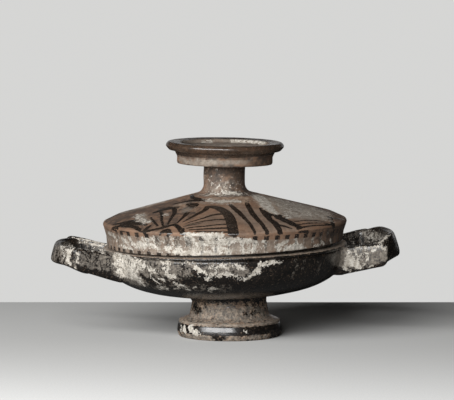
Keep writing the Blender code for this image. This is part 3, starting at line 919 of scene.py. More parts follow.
DOME_FILM = [
    ([(-14, -24), (-5, -29.8), (4, -29)], (3.0, 5.0, 4.0), 0.85, 1.5),
    ([(-13, -12), (-4, -16.5), (8, -15.5)], (3.0, 4.0, 3.5), 0.70, 2.0),
    ([(-16, -22), (-12, -23.5)], (3.0, 3.0), 0.5, 2.0),
    ([(21, -12), (23, -28), (24.5, -40), (27, -47)], (10.0, 9.0, 7.0, 3.0), 0.90, 2.5),
    ([(36, -14), (38, -30), (36, -48)], (18.0, 16.0, 10.0), 1.0, 4.0),
    ([(54, -14), (54, -34), (48, -46)], (20.0, 18.0, 10.0), 0.92, 5.0),
    ([(42, -54), (56, -48)], (5.0, 4.0), 0.50, 2.0),
    ([(2, -46), (14, -58), (24, -72)], (16.0, 24.0, 26.0), 0.34, 5.0),
    ([(-30, -65.5), (-16, -64)], (6.0, 26.0), 0.14, 2.0),
    ([(-29, -33), (-31, -38)], (6.0, 4.0), 0.85, 1.8),
    ([(-35, -20), (-27, -20.5), (-20, -24), (-17.5, -29)], (3.0, 2.4, 2.4, 2.0), 0.60, 1.2),
    ([(-60.5, -21), (-60.5, -29)], (1.6, 1.8), 0.90, 0.8),
    ([(-57.5, -22), (-57.5, -32), (-56, -43)], (3.0, 3.6, 2.4), 0.66, 1.5),
]
DOME_WORN = [
    ([(22, -12), (24, -34), (26, -44)], (12, 11, 7), 0.95, 3.0),
    ([(34, -14), (36, -40)], (18, 14), 0.72, 5.0),
    ([(50, -16), (54, -36)], (22, 16), 0.55, 6.0),
    ([(-8, -22), (2, -30), (12, -22)], (8, 10, 8), 0.5, 4.0),
    ([(-57, -21), (-57, -34), (-55.5, -43)], (5, 5, 3), 0.75, 1.5),
    ([(-32, -22), (-28, -37)], (6, 8), 0.35, 3.0),
]
DOME_DIRT = [
    ([(-78, 6), (-62, -8), (-40, -11)], (34, 26, 14), 0.90, 6.0),
    ([(-72, -22), (-64, -30)], (14, 8), 0.6, 5.0),
    ([(-70, -36), (-50, -44), (-36, -40)], (22, 30, 24), 0.60, 6.0),
    ([(-50, -66), (-70, -48)], (8, 10), 0.60, 5.0),
    ([(-30, -12), (-24, -20)], (12, 8), 0.45, 4.0),
    ([(10, -6), (30, -2), (60, 0)], (14, 10, 8), 0.25, 10.0),
    ([(70, -20), (74, -30)], (10, 8), 0.5, 6.0),
]

# Bright patches of crust on the lid's band, as degrees round and millimetres of height
BAND_RADIUS = 0.078
BAND_CRUST = [
    ([(-74, 70.4), (-71, 70)], (1.8, 1.6), 0.80, 0.8),
    ([(-66, 69.6), (-64, 66.5)], (2.6, 3.0), 0.60, 1.2),
    ([(-59, 63.2), (-50, 62.9)], (1.4, 1.2), 0.85, 0.6),
    ([(-57.5, 68.4), (-53.5, 66.4)], (2.6, 2.6), 0.66, 1.0),
    ([(-50.5, 68), (-47.6, 64.8)], (3.0, 3.0), 0.76, 1.0),
    ([(-45, 66.2), (-41.5, 66.2)], (4.4, 4.4), 0.92, 1.0),
    ([(-41, 70.3), (-36, 70.2)], (2.4, 2.2), 0.85, 1.0),
    ([(-40, 66.8), (-36, 66.2), (-33, 64.4)], (1.6, 1.8, 1.4), 0.95, 0.6),
    ([(-29, 65.4), (-26.5, 66)], (2.2, 1.8), 0.92, 0.8),
    ([(-24.5, 62.8), (-22, 64.4)], (3.0, 3.6), 0.90, 0.8),
    ([(-20, 62.5), (-13, 63.4)], (2.4, 4.0), 0.84, 1.0),
    ([(-14.5, 72), (-13.5, 66)], (2.4, 3.0), 0.80, 1.2),
    ([(-19, 76), (-10, 75.4), (-3, 75.2)], (2.0, 2.6, 2.2), 0.92, 0.8),
    ([(-11, 62.8), (-3, 62.9)], (2.6, 2.4), 0.85, 0.8),
    ([(-8, 72.5), (-3, 70.6), (4, 71.4)], (3.2, 4.0, 3.6), 0.92, 1.0),
    ([(-12, 69), (-9, 68.6)], (2.0, 1.8), 0.90, 0.8),
    ([(-6.6, 67.6), (-4.5, 65.6)], (1.6, 1.8), 0.92, 0.8),
    ([(-3, 66), (2, 64)], (3.4, 3.0), 0.80, 1.0),
    ([(5, 71.8), (9, 71.4), (13, 70.9)], (2.4, 2.4, 2.0), 0.92, 0.8),
    ([(8.2, 69), (8.6, 63.5)], (1.6, 1.4), 0.85, 0.7),
    ([(11, 69.5), (11.5, 62.8)], (1.2, 1.2), 0.60, 0.8),
    ([(14.3, 70.6), (13.8, 67.6), (13.2, 64.4)], (3.4, 2.6, 2.8), 0.98, 0.6),
    ([(17, 70.4), (19, 70.2)], (1.2, 1.0), 0.70, 0.6),
    ([(25, 66.6), (28, 68.2), (31, 69.2)], (1.6, 1.8, 1.4), 0.95, 0.6),
    ([(26.2, 63.4), (26.8, 65.4)], (2.4, 2.4), 0.96, 0.6),
    ([(29.6, 63.6), (29.6, 65.6)], (2.4, 2.2), 0.96, 0.6),
    ([(33, 65.4), (36.5, 65.6), (40.5, 64.6)], (3.8, 4.6, 3.0), 1.0, 0.8),
    ([(35.8, 67.5), (35.6, 70.8)], (1.6, 1.4), 0.98, 0.5),
    ([(46, 67.4), (46.3, 70.8)], (0.9, 1.1), 0.85, 0.5),
    ([(48, 64.8), (52, 65.2)], (1.4, 1.6), 0.76, 0.7),
    ([(53.6, 66.8), (55, 65)], (2.2, 1.8), 0.90, 0.8),
    ([(61.5, 67.5), (62.8, 64.6)], (1.6, 1.6), 0.85, 0.6),
]

# By degrees round: how much of a pale film lies on the band, and the height in millimetres that it ends at.
# The film thins out between about 40 and 120 degrees, painted shade on the side turned from the light.
FILM_DEGREES = (-120, -85, -62, -35, -12, 12, 40, 58, 80, 120, 160)
FILM_SHARES_THINNED_IN_SHADE = (0.6, 0.55, 0.64, 0.64, 1.0, 0.85, 0.55, 0.16, 0.10, 0.6, 0.6)
FILM_TOP_DEGREES = (-60, -40, -35, -15, -12, 0, 5, 12, 60)
FILM_TOPS = (71.8, 71.6, 73.4, 73.8, 75.2, 74.8, 73.0, 71.4, 71.2)

# The tongues painted down the band: the middles of those on the front, in degrees round, and the number of
# evenly spread ones behind. Then, by degrees round, how much is left of their heads, feet and bodies.
TONGUES_DEG = (
    *(-78.5, -73.0, -67.8, -62.3, -57.3, -51.4, -45.4, -39.2, -33.2, -27.9, -22.9, -17.2, -10.8),
    *(-4.3, 1.9, 8.0, 14.0, 19.5, 25.0, 30.3, 35.6, 41.0, 46.3, 52.0, 57.5, 63.0),
)
TONGUES_BEHIND = 37
HEAD_DEGREES = (-70, -62, -58, -38, -36, -14, -12, 11, 13, 48, 62)
HEADS_LEFT = (0.05, 0.55, 0.97, 0.97, 0.0, 0.0, 0.42, 0.12, 0.93, 0.97, 0.50)
FOOT_DEGREES = (-76, -60, -30, -22, -12, 40, 60)
FEET_LEFT = (0.80, 0.97, 0.90, 0.55, 0.20, 0.15, 0.60)
BODY_DEGREES = (-78, -62, -57, -40, -35, -15, -11, 10, 14, 20, 30, 42, 48, 64, 90)
BODIES_LEFT = (0.40, 0.62, 0.36, 0.30, 0.66, 0.68, 0.45, 0.20, 0.34, 0.55, 0.30, 0.40, 0.60, 0.75, 0.5)
# Between these degrees the tongues are broad and blotchy, down to where they are nearly gone
HEAVY_DEGREES = (-37, -35, -14, -12)
HEAVY_WIDTH = 1.1
# The height, in millimetres, between heads and feet, and the distance of a tongue where there is none
BAND_MIDDLE = 67
NO_TONGUE = 9

# Wear of the knob's band and of the stem, as degrees round and millimetres of height, and of the dish in plan
KNOB_CHART_RADIUS = 0.0316
KNOB_FILM = [
    ([(-70, 117.4), (-40, 117), (-10, 117), (14, 117)], (3, 4, 4, 3), 0.90, 1.5),
    ([(14, 116.5), (24, 117.5), (33, 118.8)], (2.0, 2.4, 1.2), 0.55, 1.5),
]
STEM_CHART_RADIUS = 0.0137
STEM_FILM = [
    ([(-34, 100), (-24, 103), (-18, 106)], (5, 6, 4), 0.55, 4.0),
    ([(-22, 98), (-8, 99), (4, 97.5)], (5, 7, 4), 0.85, 3.0),
    ([(16, 102), (22, 101)], (2.5, 2.5), 0.75, 1.5),
    ([(-54, 99), (-48, 99)], (4, 3), 0.45, 3.0),
    ([(-30, 95.5), (10, 95)], (2, 2), 0.60, 1.5),
]
DISH_CRUST = [
    ([(8, 26.4), (16, 23.4), (23.5, 16.5), (27, 8)], (2.0, 3.0, 3.6, 2.4), 0.82, 1.6),
    ([(-13, 23.6), (-10, 24.6), (-7, 25.2)], (1.8, 2.2, 1.6), 0.92, 1.0),
    ([(-2, 4), (2, 2)], (4.0, 3.0), 0.70, 1.5),
]
DISH_DIRT = [
    ([(-25, 6), (-20, 14), (-12, 19)], (5, 6, 4), 0.70, 2.5),
    ([(-12, -16), (2, -19), (14, -14)], (3, 4, 3), 0.60, 2.5),
]


def wrapped_patches(patches, radius):
    return [(wrapped_path(path, radius), *rest) for path, *rest in patches]


def ruffled(chart, points, amount=1.0):
    """The chart pushed about by smooth noise, so that the edges of what is placed in it wander."""
    coarse = [lattice_noise(points, 3.4 * MM, seed) for seed in (11, 12)]
    fine = [lattice_noise(points, 1.6 * MM, seed) for seed in (13, 14)]
    return chart + amount * (np.stack(coarse, axis=1) + 0.8 * np.stack(fine, axis=1))


class Surface:
    """A mesh's points as its wear is placed on them: heights and distances from the axis in millimetres,
    degrees from the middle of the front, and normals."""

    def __init__(self, mesh):
        self.points = points_of(mesh)
        self.normal = normals_of(mesh)
        self.z = self.points[:, 2] / MM
        self.reach = np.hypot(self.points[:, 0] - SHIFT, self.points[:, 1]) / MM
        self.angle = front_degrees(self.points, SHIFT)

    def wrapped(self, radius, amount=1.0, centre_x=SHIFT):
        """The points' ruffled chart on a cylinder."""
        return ruffled(wrapped_chart(self.points, radius, centre_x), self.points, amount)


def between(values, low, high):
    return (values > low) & (values < high)


def front_and_back(plan, patches, where, share_behind):
    """The strongest patch at each point, with the patches repeated more weakly half a turn round."""
    return np.maximum(covered(plan, patches, where), share_behind * covered(-plan, patches, where))


def tongue_distance(angle):
    """Millimetres round the band to the middle of the nearest tongue."""
    behind = np.linspace(TONGUES_DEG[-1], TONGUES_DEG[0] + 360, TONGUES_BEHIND + 2)[1:-1]
    middles = np.concatenate([TONGUES_DEG, behind])
    middles = np.sort(np.concatenate([middles - 360, middles, middles + 360]))
    after = np.searchsorted(middles, angle)
    away = np.minimum(middles[after] - angle, angle - middles[after - 1])
    return np.radians(away) * BAND_RADIUS / MM


def dome_paint(at, dome):
    """Depth inside the dome's strokes, which end where the shoulder turns down, and inside the strokes that
    run down over it."""
    plan = plan_chart(at.points[dome])
    depth = np.full(len(at.z), FAR_OUTSIDE)
    depth[dome] = np.maximum(ornament(plan), ornament(-plan))
    depth -= 4 * eased(at.reach, 76.5, 78.6) * (at.z < 79) * eased(75.5 - at.z, 0, 2.5)
    chart = wrapped_chart(at.points[dome], BAND_RADIUS, SHIFT)
    on_shoulder = deepest_in(chart, wrapped_patches(SHOULDER_STROKES, BAND_RADIUS))
    depth[dome] = np.maximum(depth[dome], on_shoulder)
    return depth


def tongue_wear(at, band):
    """How far the nearest tongue is, and how much is left of the tongues' ends and of their bodies."""
    heavy = np.interp(at.angle, HEAVY_DEGREES, (0, 1, 1, 0))
    high_up = eased(at.z + 1.4 * lattice_noise(at.points, 5 * MM, 22), 65.0, 67.5)
    heads_left = np.interp(at.angle, HEAD_DEGREES, HEADS_LEFT)
    feet_left = np.interp(at.angle, FOOT_DEGREES, FEET_LEFT)
    bodies_left = np.interp(at.angle, BODY_DEGREES, BODIES_LEFT)
    return {
        "tongue": np.where(band, tongue_distance(at.angle) - HEAVY_WIDTH * heavy * high_up, NO_TONGUE),
        "tongue_ends": np.where(at.z > BAND_MIDDLE, heads_left, feet_left),
        "tongue_body": bodies_left * (1 - 0.85 * heavy * (1 - high_up)),
    }


def new_lid_attributes(mesh):
    """Keeps the lid's painting and wear, and the painted shade on its band, knob and stem, which the painted
    material reads by their names.
    """
    at = Surface(mesh)
    points, z, reach, angle = at.points, at.z, at.reach, at.angle
    upward = at.normal[:, 2]
    dome = between(z, 70, 103) & (upward > -0.35) & (reach > 12)
    band = (reach > 72) & (z < 76) & (upward < 0.9)
    stem = between(z, 92, 114.3) & (reach < 22)
    knob = between(z, 113, 122) & (reach > 20)
    dish = (z > 122) & (reach < 29.5)
    plan = ruffled(plan_chart(points), points)
    crust = front_and_back(plan, DOME_CRUST, dome, 0.8)
    worn = front_and_back(plan, DOME_WORN, dome, 0.8)
    dirt_and_shade = front_and_back(plan, DOME_DIRT, dome, 0.6)
    film_and_painted_light = front_and_back(plan, DOME_FILM, dome, 0.6)
    below_heads = np.interp(angle, FILM_TOP_DEGREES, FILM_TOPS) - z
    band_crust = covered(at.wrapped(BAND_RADIUS, 0.5), wrapped_patches(BAND_CRUST, BAND_RADIUS), band)
    everywhere = 0.16 * eased(62 - np.abs(angle + 20), 0, 40) * eased(below_heads, -0.5, 0.5)
    behind = 0.20 * eased(np.abs(angle), 100, 130) * eased(below_heads, -0.5, 0.5)
    crust = np.where(band, np.maximum.reduce([crust, band_crust, everywhere, behind]), crust)
    film_and_painted_light = np.where(band, np.interp(angle, FILM_DEGREES, FILM_SHARES_THINNED_IN_SHADE) * eased(below_heads, -0.4, 0.5), film_and_painted_light)
    # Painted shade: the band darkens on its right side, which is turned from the light
    dirt_and_shade = np.where(band, 0.85 * eased(angle, 40, 62) * eased(110 - angle, 0, 20), dirt_and_shade)
    chart = at.wrapped(KNOB_CHART_RADIUS)
    film_and_painted_light = np.maximum(film_and_painted_light, covered(chart, wrapped_patches(KNOB_FILM, KNOB_CHART_RADIUS), knob))
    film_and_painted_light = np.maximum(film_and_painted_light, 0.45 * knob * eased(np.abs(angle), 90, 130))
    # Painted shade on the knob's band: darker on its right side, turned from the light, and at its top under
    # the rim. low_edge darkens its chipped lower edge.
    dirt_and_shade = np.where(knob, 0.75 * eased(angle, 20, 44) * eased(100 - angle, 0, 20), dirt_and_shade)
    low_edge = eased(115.3 + 0.8 * lattice_noise(points, 4 * MM, 21) - z, 0, 0.8)
    dirt_and_shade = np.where(knob, np.maximum.reduce([dirt_and_shade, low_edge, 0.6 * eased(z, 117.8, 119.6)]), dirt_and_shade)
    chart = at.wrapped(STEM_CHART_RADIUS)
    film_and_painted_light = np.maximum(film_and_painted_light, covered(chart, wrapped_patches(STEM_FILM, STEM_CHART_RADIUS), stem))
    # Painted shade on the stem: darker on its right side, and at its top a painted shadow under the knob,
    # over an even share of dirt
    shaded = 0.55 * eased(angle, 0, 35) * eased(110 - angle, 0, 20)
    dirt_and_shade = np.where(stem, 0.45 + 0.35 * eased(z, 102, 110) + shaded, dirt_and_shade)
    crust = np.where(stem, np.maximum(crust, 0.06), crust)
    crust = np.maximum(crust, covered(plan, DISH_CRUST, dish))
    dirt_and_shade = np.where(dish, np.maximum(0.20, covered(plan, DISH_DIRT, dish)), dirt_and_shade)
    film_and_painted_light = np.where(dish, 0.80, film_and_painted_light)
    gloss = eased(z, 119.8, 121.0) * eased(reach, 28.6, 30.0)
    kept = {"paint": dome_paint(at, dome), "crust": crust, "worn": worn, "dirt_and_shade": dirt_and_shade}
    kept.update({"gloss": gloss, "film_and_painted_light": film_and_painted_light, **tongue_wear(at, band)})
    for name, values in kept.items():
        keep_attribute(mesh, name, values)


def make_lid():
    under = divided(lid_underside(), COARSE)
    outside = divided(thinned(lid_outside()), FINE)
    knob = divided(thinned(knob_outline()), MIDDLING)
    outline = np.vstack([under[:-1], outside, knob])
    points, faces = turned(outline, LID_SEGMENTS)
    settled = settle_lid(points)
    lid = new_object("vessel_lid", settled, faces)
    moved_inwards(lid.data, unevenness(settled, 1))
    new_lid_attributes(lid.data)
    return lid


# Wear of the bowl's wall and of the foot, as degrees round and millimetres of height
BELLY_RADIUS = 0.072
BELLY_CRUST = [
    ([(-64, 51), (-57, 50), (-50, 50.5)], (9, 11, 7), 0.80, 3.0),
    ([(-62, 56), (-50, 55.5), (-41, 54.5)], (3, 4, 3), 0.66, 2.0),
    ([(-54, 45), (-50, 46), (-48, 41)], (4, 7, 4), 0.80, 2.5),
    ([(-45, 51), (-41, 52.5)], (5, 3), 0.66, 2.0),
    ([(-39, 45.7), (-34.2, 42.0)], (1.6, 1.4), 0.85, 0.8),
    ([(-38, 38.2), (-33, 38.5), (-30.5, 39.5)], (2, 2.4, 1.4), 0.72, 1.0),
    ([(-33, 46), (-31, 43.5)], (1.4, 1.0), 0.75, 0.8),
    ([(-38, 51), (-34, 50)], (2.5, 2.0), 0.66, 1.2),
    ([(-30, 55), (-28, 53), (-27.5, 56)], (3, 3, 2), 0.62, 2.0),
    ([(-28, 48), (-25.0, 47.6)], (3.2, 2.6), 0.82, 1.0),
    ([(-25.5, 42), (-22, 40.5), (-19.5, 39)], (2.6, 2.2, 1.2), 0.78, 1.0),
    ([(-27, 38.5), (-25, 38.4)], (1.6, 1.4), 0.7, 0.8),
    ([(-21, 56), (-15, 57)], (1.4, 1.2), 0.50, 1.0),
    ([(-12.7, 52.6), (-10.4, 48.8), (-6.8, 45.4)], (4.0, 4.4, 1.4), 0.80, 1.2),
    ([(-6, 54), (0, 54.6), (9.2, 54.2)], (2.2, 2.6, 2.4), 0.56, 1.8),
    ([(-6, 49.5), (0, 49.4), (4.6, 48.0), (9, 46.5)], (2.0, 2.4, 2.0, 1.4), 0.66, 1.6),
    (
        [(7.2, 45.1), (11.8, 48.3), (15.4, 52.2), (20.3, 55.9), (23.7, 57.0)],
        (1.2, 2.2, 2.0, 1.8, 1.2),
        0.80,
        1.1,
    ),
    ([(17, 56.4), (22, 56.8), (27, 57.2)], (1.4, 2.0, 1.2), 0.55, 1.2),
    ([(9, 45.6), (13.5, 48.6), (17, 51.4)], (0.9, 1.0, 0.8), 0.66, 0.9),
    ([(-6.8, 39.3), (-5.0, 39.6)], (1.8, 1.4), 0.8, 0.8),
    ([(-13.2, 43.5), (-11.5, 43.4)], (1.4, 1.0), 0.8, 0.6),
    ([(-16.4, 40.5), (-15.2, 40.4)], (1.0, 0.9), 0.8, 0.5),
    ([(-17.4, 44.7), (-16.6, 44.5)], (1.1, 0.9), 0.8, 0.5),
    ([(-9.0, 40.0), (-8.0, 37.5)], (1.0, 0.8), 0.6, 0.8),
]
BELLY_FILM = [
    ([(-66, 50), (-56, 49), (-46, 48)], (18, 20, 14), 0.85, 5.0),
    ([(-46, 53), (-36, 52), (-26, 50), (-18, 50)], (8, 10, 10, 6), 0.52, 3.5),
    ([(-40, 39.5), (-32, 40), (-24, 40), (-12, 41)], (4, 4, 4, 3), 0.36, 3.0),
    ([(-18, 54.5), (-13, 54)], (4, 3), 0.55, 2.0),
    ([(-9, 52), (0, 52), (8, 51.4), (11, 51)], (5, 6.5, 5, 2), 0.72, 1.2),
    ([(-4, 39.5), (2, 40)], (3, 2), 0.30, 2.0),
    ([(34.5, 57), (35.3, 52), (34, 45)], (1.0, 0.8, 0.6), 0.34, 1.2),
    ([(39.2, 57), (39.4, 51)], (0.8, 0.6), 0.34, 1.0),
    ([(50, 54), (50, 45)], (1.0, 0.8), 0.34, 1.2),
]
BELLY_DARK = [
    ([(-43, 45.6), (-40.5, 42.5), (-38.2, 40.0)], (3.6, 4.6, 2.6), 1.0, 0.8),
    ([(-20, 44), (-12, 46.5), (-15, 50)], (5, 7, 3), 0.85, 1.5),
    ([(-30, 37), (-29, 44)], (2.5, 2.0), 0.8, 1.2),
]
FOOT_CRUST = [
    ([(-68, 7.6), (-67, 4)], (1.8, 1.4), 0.70, 0.8),
    ([(-60.5, 7.6), (-60, 6.0), (-56.5, 4.6)], (2.6, 3.4, 2.4), 0.95, 0.6),
    ([(-49, 8.0), (-46, 6.4), (-40.5, 5.0), (-34, 4.8)], (3.2, 3.8, 3.2, 2.0), 0.92, 0.6),
    ([(16, 7.0), (19.5, 6.8)], (1.4, 1.2), 0.62, 0.8),
]
FOOT_FILM = [
    ([(-70, 15), (-30, 16.5), (15, 17), (70, 15)], (6, 9.5, 9.5, 6), 0.70, 2.0),
    ([(-30, 18), (-8, 17.5), (10, 16)], (7, 9, 7), 0.95, 3.0),
    ([(-64, 1.7), (-38, 1.6), (-18, 1.6)], (2.4, 2.8, 2.6), 0.88, 0.6),
    ([(-5, 1.6), (16, 1.8), (46, 1.8)], (2.6, 2.8, 2.0), 0.82, 0.6),
]
FOOT_DARK = [
    ([(-67, 19.5), (-50, 18.5)], (5, 4), 0.85, 2.0),
    ([(22, 18), (33, 16.5), (44, 18)], (2.0, 3.0, 3.0), 0.60, 2.0),
    ([(-17, 2.2), (-13, 2.0), (-7, 2.4)], (1.8, 2.2, 2.2), 0.9, 0.6),
    ([(54, 2), (75, 2)], (5, 6), 0.8, 2.0),
]

# Wear of the handles, in millimetres to the right and upwards as seen from the camera's side
HANDLE_CRUST = [
    ([(-107.5, -30.5), (-103.5, -31.5), (-100.5, -33.5)], (2.4, 3.0, 2.4), 0.60, 1.5),
    ([(-103.0, -34.0), (-103.2, -38.0), (-102.4, -41.8)], (3.0, 3.0, 2.2), 0.92, 0.8),
    ([(-107.5, -35.0), (-104.5, -39.5)], (2.0, 2.4), 0.55, 1.2),
    ([(-98.5, -44.4), (-97.6, -43.2)], (1.0, 1.0), 0.70, 0.6),
    ([(-103.1, -24.7), (-92.0, -26.9), (-80.0, -29.7)], (0.7, 0.8, 1.0), 0.85, 0.5),
    ([(-97.5, -27.8), (-88, -29.9), (-80, -31.4)], (0.9, 1.1, 1.4), 0.85, 0.6),
    ([(-94.7, -31.0), (-86, -33.0), (-80, -33.6)], (0.8, 1.0, 1.4), 0.75, 0.7),
    ([(-97.4, -34.6), (-96.8, -36.0)], (1.4, 1.0), 0.76, 0.6),
    ([(-97.2, -38.0), (-96.4, -40.6)], (1.4, 1.8), 0.80, 0.6),
    ([(-90.5, -36.0), (-89.0, -36.4)], (1.2, 1.0), 0.45, 1.2),
    ([(-71.5, -35.5), (-69.0, -39.0), (-66.0, -45.0)], (3.0, 6.0, 7.0), 0.72, 3.0),
    ([(-65.0, -37.0), (-62.5, -42.0), (-59.0, -48.0)], (5.0, 7.0, 5.0), 0.72, 3.0),
    ([(79.5, -33.0), (80.0, -38.0), (79.5, -44.0)], (1.5, 4.6, 5.0), 0.60, 1.5),
    ([(83.4, -33.5), (85.4, -37.5), (85.4, -41.5), (84.6, -45.0)], (1.4, 1.6, 1.8, 2.0), 0.88, 0.6),
    ([(79.5, -41.4), (83.6, -42.6), (86.0, -44.6)], (4.4, 4.6, 2.0), 0.94, 0.8),
    ([(84.4, -31.0), (92.0, -31.5), (99.4, -30.1)], (1.6, 1.6, 1.4), 0.60, 0.8),
    ([(86.0, -36.6), (90.5, -34.4), (96.0, -33.2)], (1.6, 1.4, 1.0), 0.62, 1.0),
    ([(88.2, -43.0), (90.0, -41.6), (92.4, -40.4)], (1.0, 1.4, 1.2), 0.92, 0.5),
    ([(93.0, -43.6), (95.4, -42.2)], (1.2, 1.6), 0.92, 0.5),
    ([(100.6, -29.0), (102.6, -31.8), (104.6, -31.0)], (2.0, 2.2, 2.0), 0.62, 0.8),
    ([(98.6, -27.4), (103.0, -25.4), (106.0, -23.6), (109.6, -22.4)], (0.9, 1.1, 1.2, 0.9), 0.95, 0.4),
    ([(92.0, -22.8), (97.0, -24.5), (101.0, -23.8)], (3.0, 4.4, 3.0), 0.62, 1.6),
]
HANDLE_FILM = [
    ([(-113.0, -30.0), (-113.5, -38.0)], (3.0, 4.0), 0.50, 1.5),
    ([(-108.0, -32.0), (-104.0, -38.0), (-99.5, -43.0)], (7.0, 8.0, 4.0), 0.60, 2.0),
    ([(-97.0, -28.6), (-86.0, -31.0), (-76.0, -33.2)], (3.6, 3.6, 4.0), 0.55, 1.5),
    ([(-96.0, -37.0), (-88.0, -38.5), (-80.0, -40.0), (-72.0, -42.0)], (7.0, 9.0, 9.0, 10.0), 0.56, 3.0),
    ([(77.0, -38.0), (86.0, -38.5), (95.0, -37.5), (103.5, -35.5)], (13.0, 12.5, 10.0, 7.0), 0.78, 1.6),
    ([(90.5, -22.5), (97.0, -24.5), (103.5, -25.0)], (5.0, 7.0, 4.0), 0.62, 2.0),
    ([(102.0, -28.0), (106.0, -26.0)], (3.0, 2.0), 0.34, 1.0),
]
HANDLE_DARK = [
    ([(-112.0, -27.5), (-105.0, -26.6), (-100.0, -29.0)], (2.0, 3.0, 1.6), 0.90, 1.0),
    ([(-112.5, -40.0), (-106.0, -42.5), (-100.5, -44.5)], (1.0, 1.4, 1.2), 0.85, 0.6),
    ([(-98.4, -32.4), (-100.0, -35.5), (-100.5, -39.5), (-98.8, -45.4)], (0.9, 1.1, 1.2, 0.9), 0.97, 0.4),
    ([(-99.2, -29.5), (-90.0, -31.6), (-84.0, -32.4)], (1.0, 1.0, 0.6), 0.85, 0.5),
    ([(-97.0, -33.2), (-88.0, -33.9), (-80.0, -35.2)], (1.2, 1.3, 0.8), 0.85, 0.6),
    ([(-95.5, -44.6), (-86.0, -46.8), (-76.0, -49.6), (-68.0, -52.0)], (2.2, 2.6, 2.2, 1.2), 0.75, 1.2),
    ([(80.2, -44.6), (81.0, -44.6)], (1.2, 1.0), 0.9, 0.5),
    ([(83.2, -44.9), (84.0, -44.9)], (1.2, 1.0), 0.8, 0.5),
    ([(86.8, -45.6), (92.0, -44.9), (99.0, -43.0), (105.0, -40.0)], (1.6, 2.0, 2.2, 2.0), 0.85, 0.8),
    ([(89.5, -43.4), (92.4, -42.4)], (1.2, 1.4), 0.8, 0.6),
    ([(88.6, -35.0), (90.4, -35.8)], (1.4, 1.0), 0.6, 0.8),
    ([(106.8, -30.0), (106.5, -38.0)], (2.0, 3.0), 0.95, 1.0),
    ([(80.0, -25.0), (88.0, -24.8)], (6.0, 4.0), 0.90, 1.5),
]


def new_body_attributes(mesh):
    """Keeps the bowl's wear, which its material reads by name: crust, film and bare clay. The film also holds
    a painted highlight along the front of the belly's top edge.
    """
    at = Surface(mesh)
    points, normal, z, reach, angle = at.points, at.normal, at.z, at.reach, at.angle
    radial = (normal[:, 0] * points[:, 0] + normal[:, 1] * points[:, 1]) / np.maximum(reach * MM, 1e-6)
    outer = (radial > -0.2) | (normal[:, 2] < 0)
    wall = outer & (z > 26) & (z < 58.2) & (reach < 90)
    wall_radius, wall_height = belly_outline().T / MM
    beyond = reach - np.interp(z, wall_height, wall_radius) + 2 * lattice_noise(points, 4 * MM, 23)
    near_wall = 1 - eased(beyond, 1.5, 8)
    low = outer & (z < 26)
    handle = (reach >= 80.9) & (z > 30)
    near_handle = (reach > 74) & (z > 30) & (np.abs(points[:, 0] - SHIFT) > 64 * MM)
    belly = at.wrapped(BELLY_RADIUS)
    foot = at.wrapped(FOOT_RIM_RADIUS, centre_x=SHIFT + FOOT_OFF_CENTRE)
    view = ruffled(front_view_chart(points), points)
    seen = facing_front(normal) * near_handle

    def gathered(belly_patches, foot_patches, handle_patches):
        on_wall = covered(belly, wrapped_patches(belly_patches, BELLY_RADIUS), wall) * near_wall
        on_foot = covered(foot, wrapped_patches(foot_patches, FOOT_RIM_RADIUS), low)
        return np.maximum.reduce([on_wall, on_foot, seen * covered(view, handle_patches, near_handle)])

    kept = 1 - gathered(BELLY_DARK, FOOT_DARK, HANDLE_DARK)
    crust = gathered(BELLY_CRUST, FOOT_CRUST, HANDLE_CRUST) * kept
    film_and_painted_light = gathered(BELLY_FILM, FOOT_FILM, HANDLE_FILM) * kept
    behind = eased(np.abs(angle), 95, 125) * (wall | handle)
    elsewhere = np.maximum(behind, handle * (1 - facing_front(normal)))
    crust = np.maximum(crust, 0.16 * elsewhere)
    film_and_painted_light = np.maximum(film_and_painted_light, 0.34 * elsewhere)
    bare = np.where(low & (z > 10.2) & (z < 24.0), 0.55, 0.0)
    bare = np.where(low & (z < 3.6), 0.6, bare)
    bare = bare * kept
    ledge = (z > 56.5) & (z < 62.5) & (reach > 74) & (reach < 81.6)
    on_top = ledge & (normal[:, 2] > 0.75)
    bare = np.where(on_top, 0.90, bare)
    film_and_painted_light = np.where(on_top, np.maximum(film_and_painted_light, 0.7), film_and_painted_light)
    ring_film = np.interp(angle, (-90, -60, -42, -30, 60, 75, 100), (0.7, 0.75, 0.30, 0.0, 0.0, 0.35, 0.3))
    film_and_painted_light = np.where(ledge & ~on_top & (z > 58.8), np.maximum(film_and_painted_light, ring_film), film_and_painted_light)
    rim_edge = low * eased(0.7 - np.abs(z - 10.4), -0.2, 0.2)
    film_and_painted_light = np.maximum(film_and_painted_light, 0.9 * rim_edge)
    bare = np.maximum(bare, 0.9 * rim_edge)
    # Painted highlight: a pale line along the belly's top edge, only on the front where the light's
    # reflection falls
    painted_highlight_line = eased(0.5 - np.abs(z - 56.6), -0.3, 0.2) * eased(26 - np.abs(angle + 17), 0, 12)
    film_and_painted_light = np.where(wall, np.maximum(film_and_painted_light, 0.8 * painted_highlight_line), film_and_painted_light)
    for name, values in (("crust", crust), ("film_and_painted_light", film_and_painted_light), ("bare", bare)):
        keep_attribute(mesh, name, values)


def make_body():
    foot = divided(thinned(foot_outline()), MIDDLING)
    belly = divided(belly_outline(), MIDDLING)
    rim = divided(thinned(rim_outline()), MIDDLING)
    outline = np.vstack([foot, belly, rim, basin_outline()])
    points, faces = turned(outline, BOWL_SEGMENTS)
    helper = new_object("turned_body", settle_bowl(points), faces)
    mesh = joined(helper, handle_straps())
    bpy.data.objects.remove(helper)
    mesh.name = "vessel_body"
    body = bpy.data.objects.new("vessel_body", mesh)
    bpy.context.scene.collection.objects.link(body)
    fill_creases(mesh, arm_roots())
    moved_inwards(mesh, unevenness(points_of(mesh), 3))
    new_body_attributes(mesh)
    return body


# Node trees


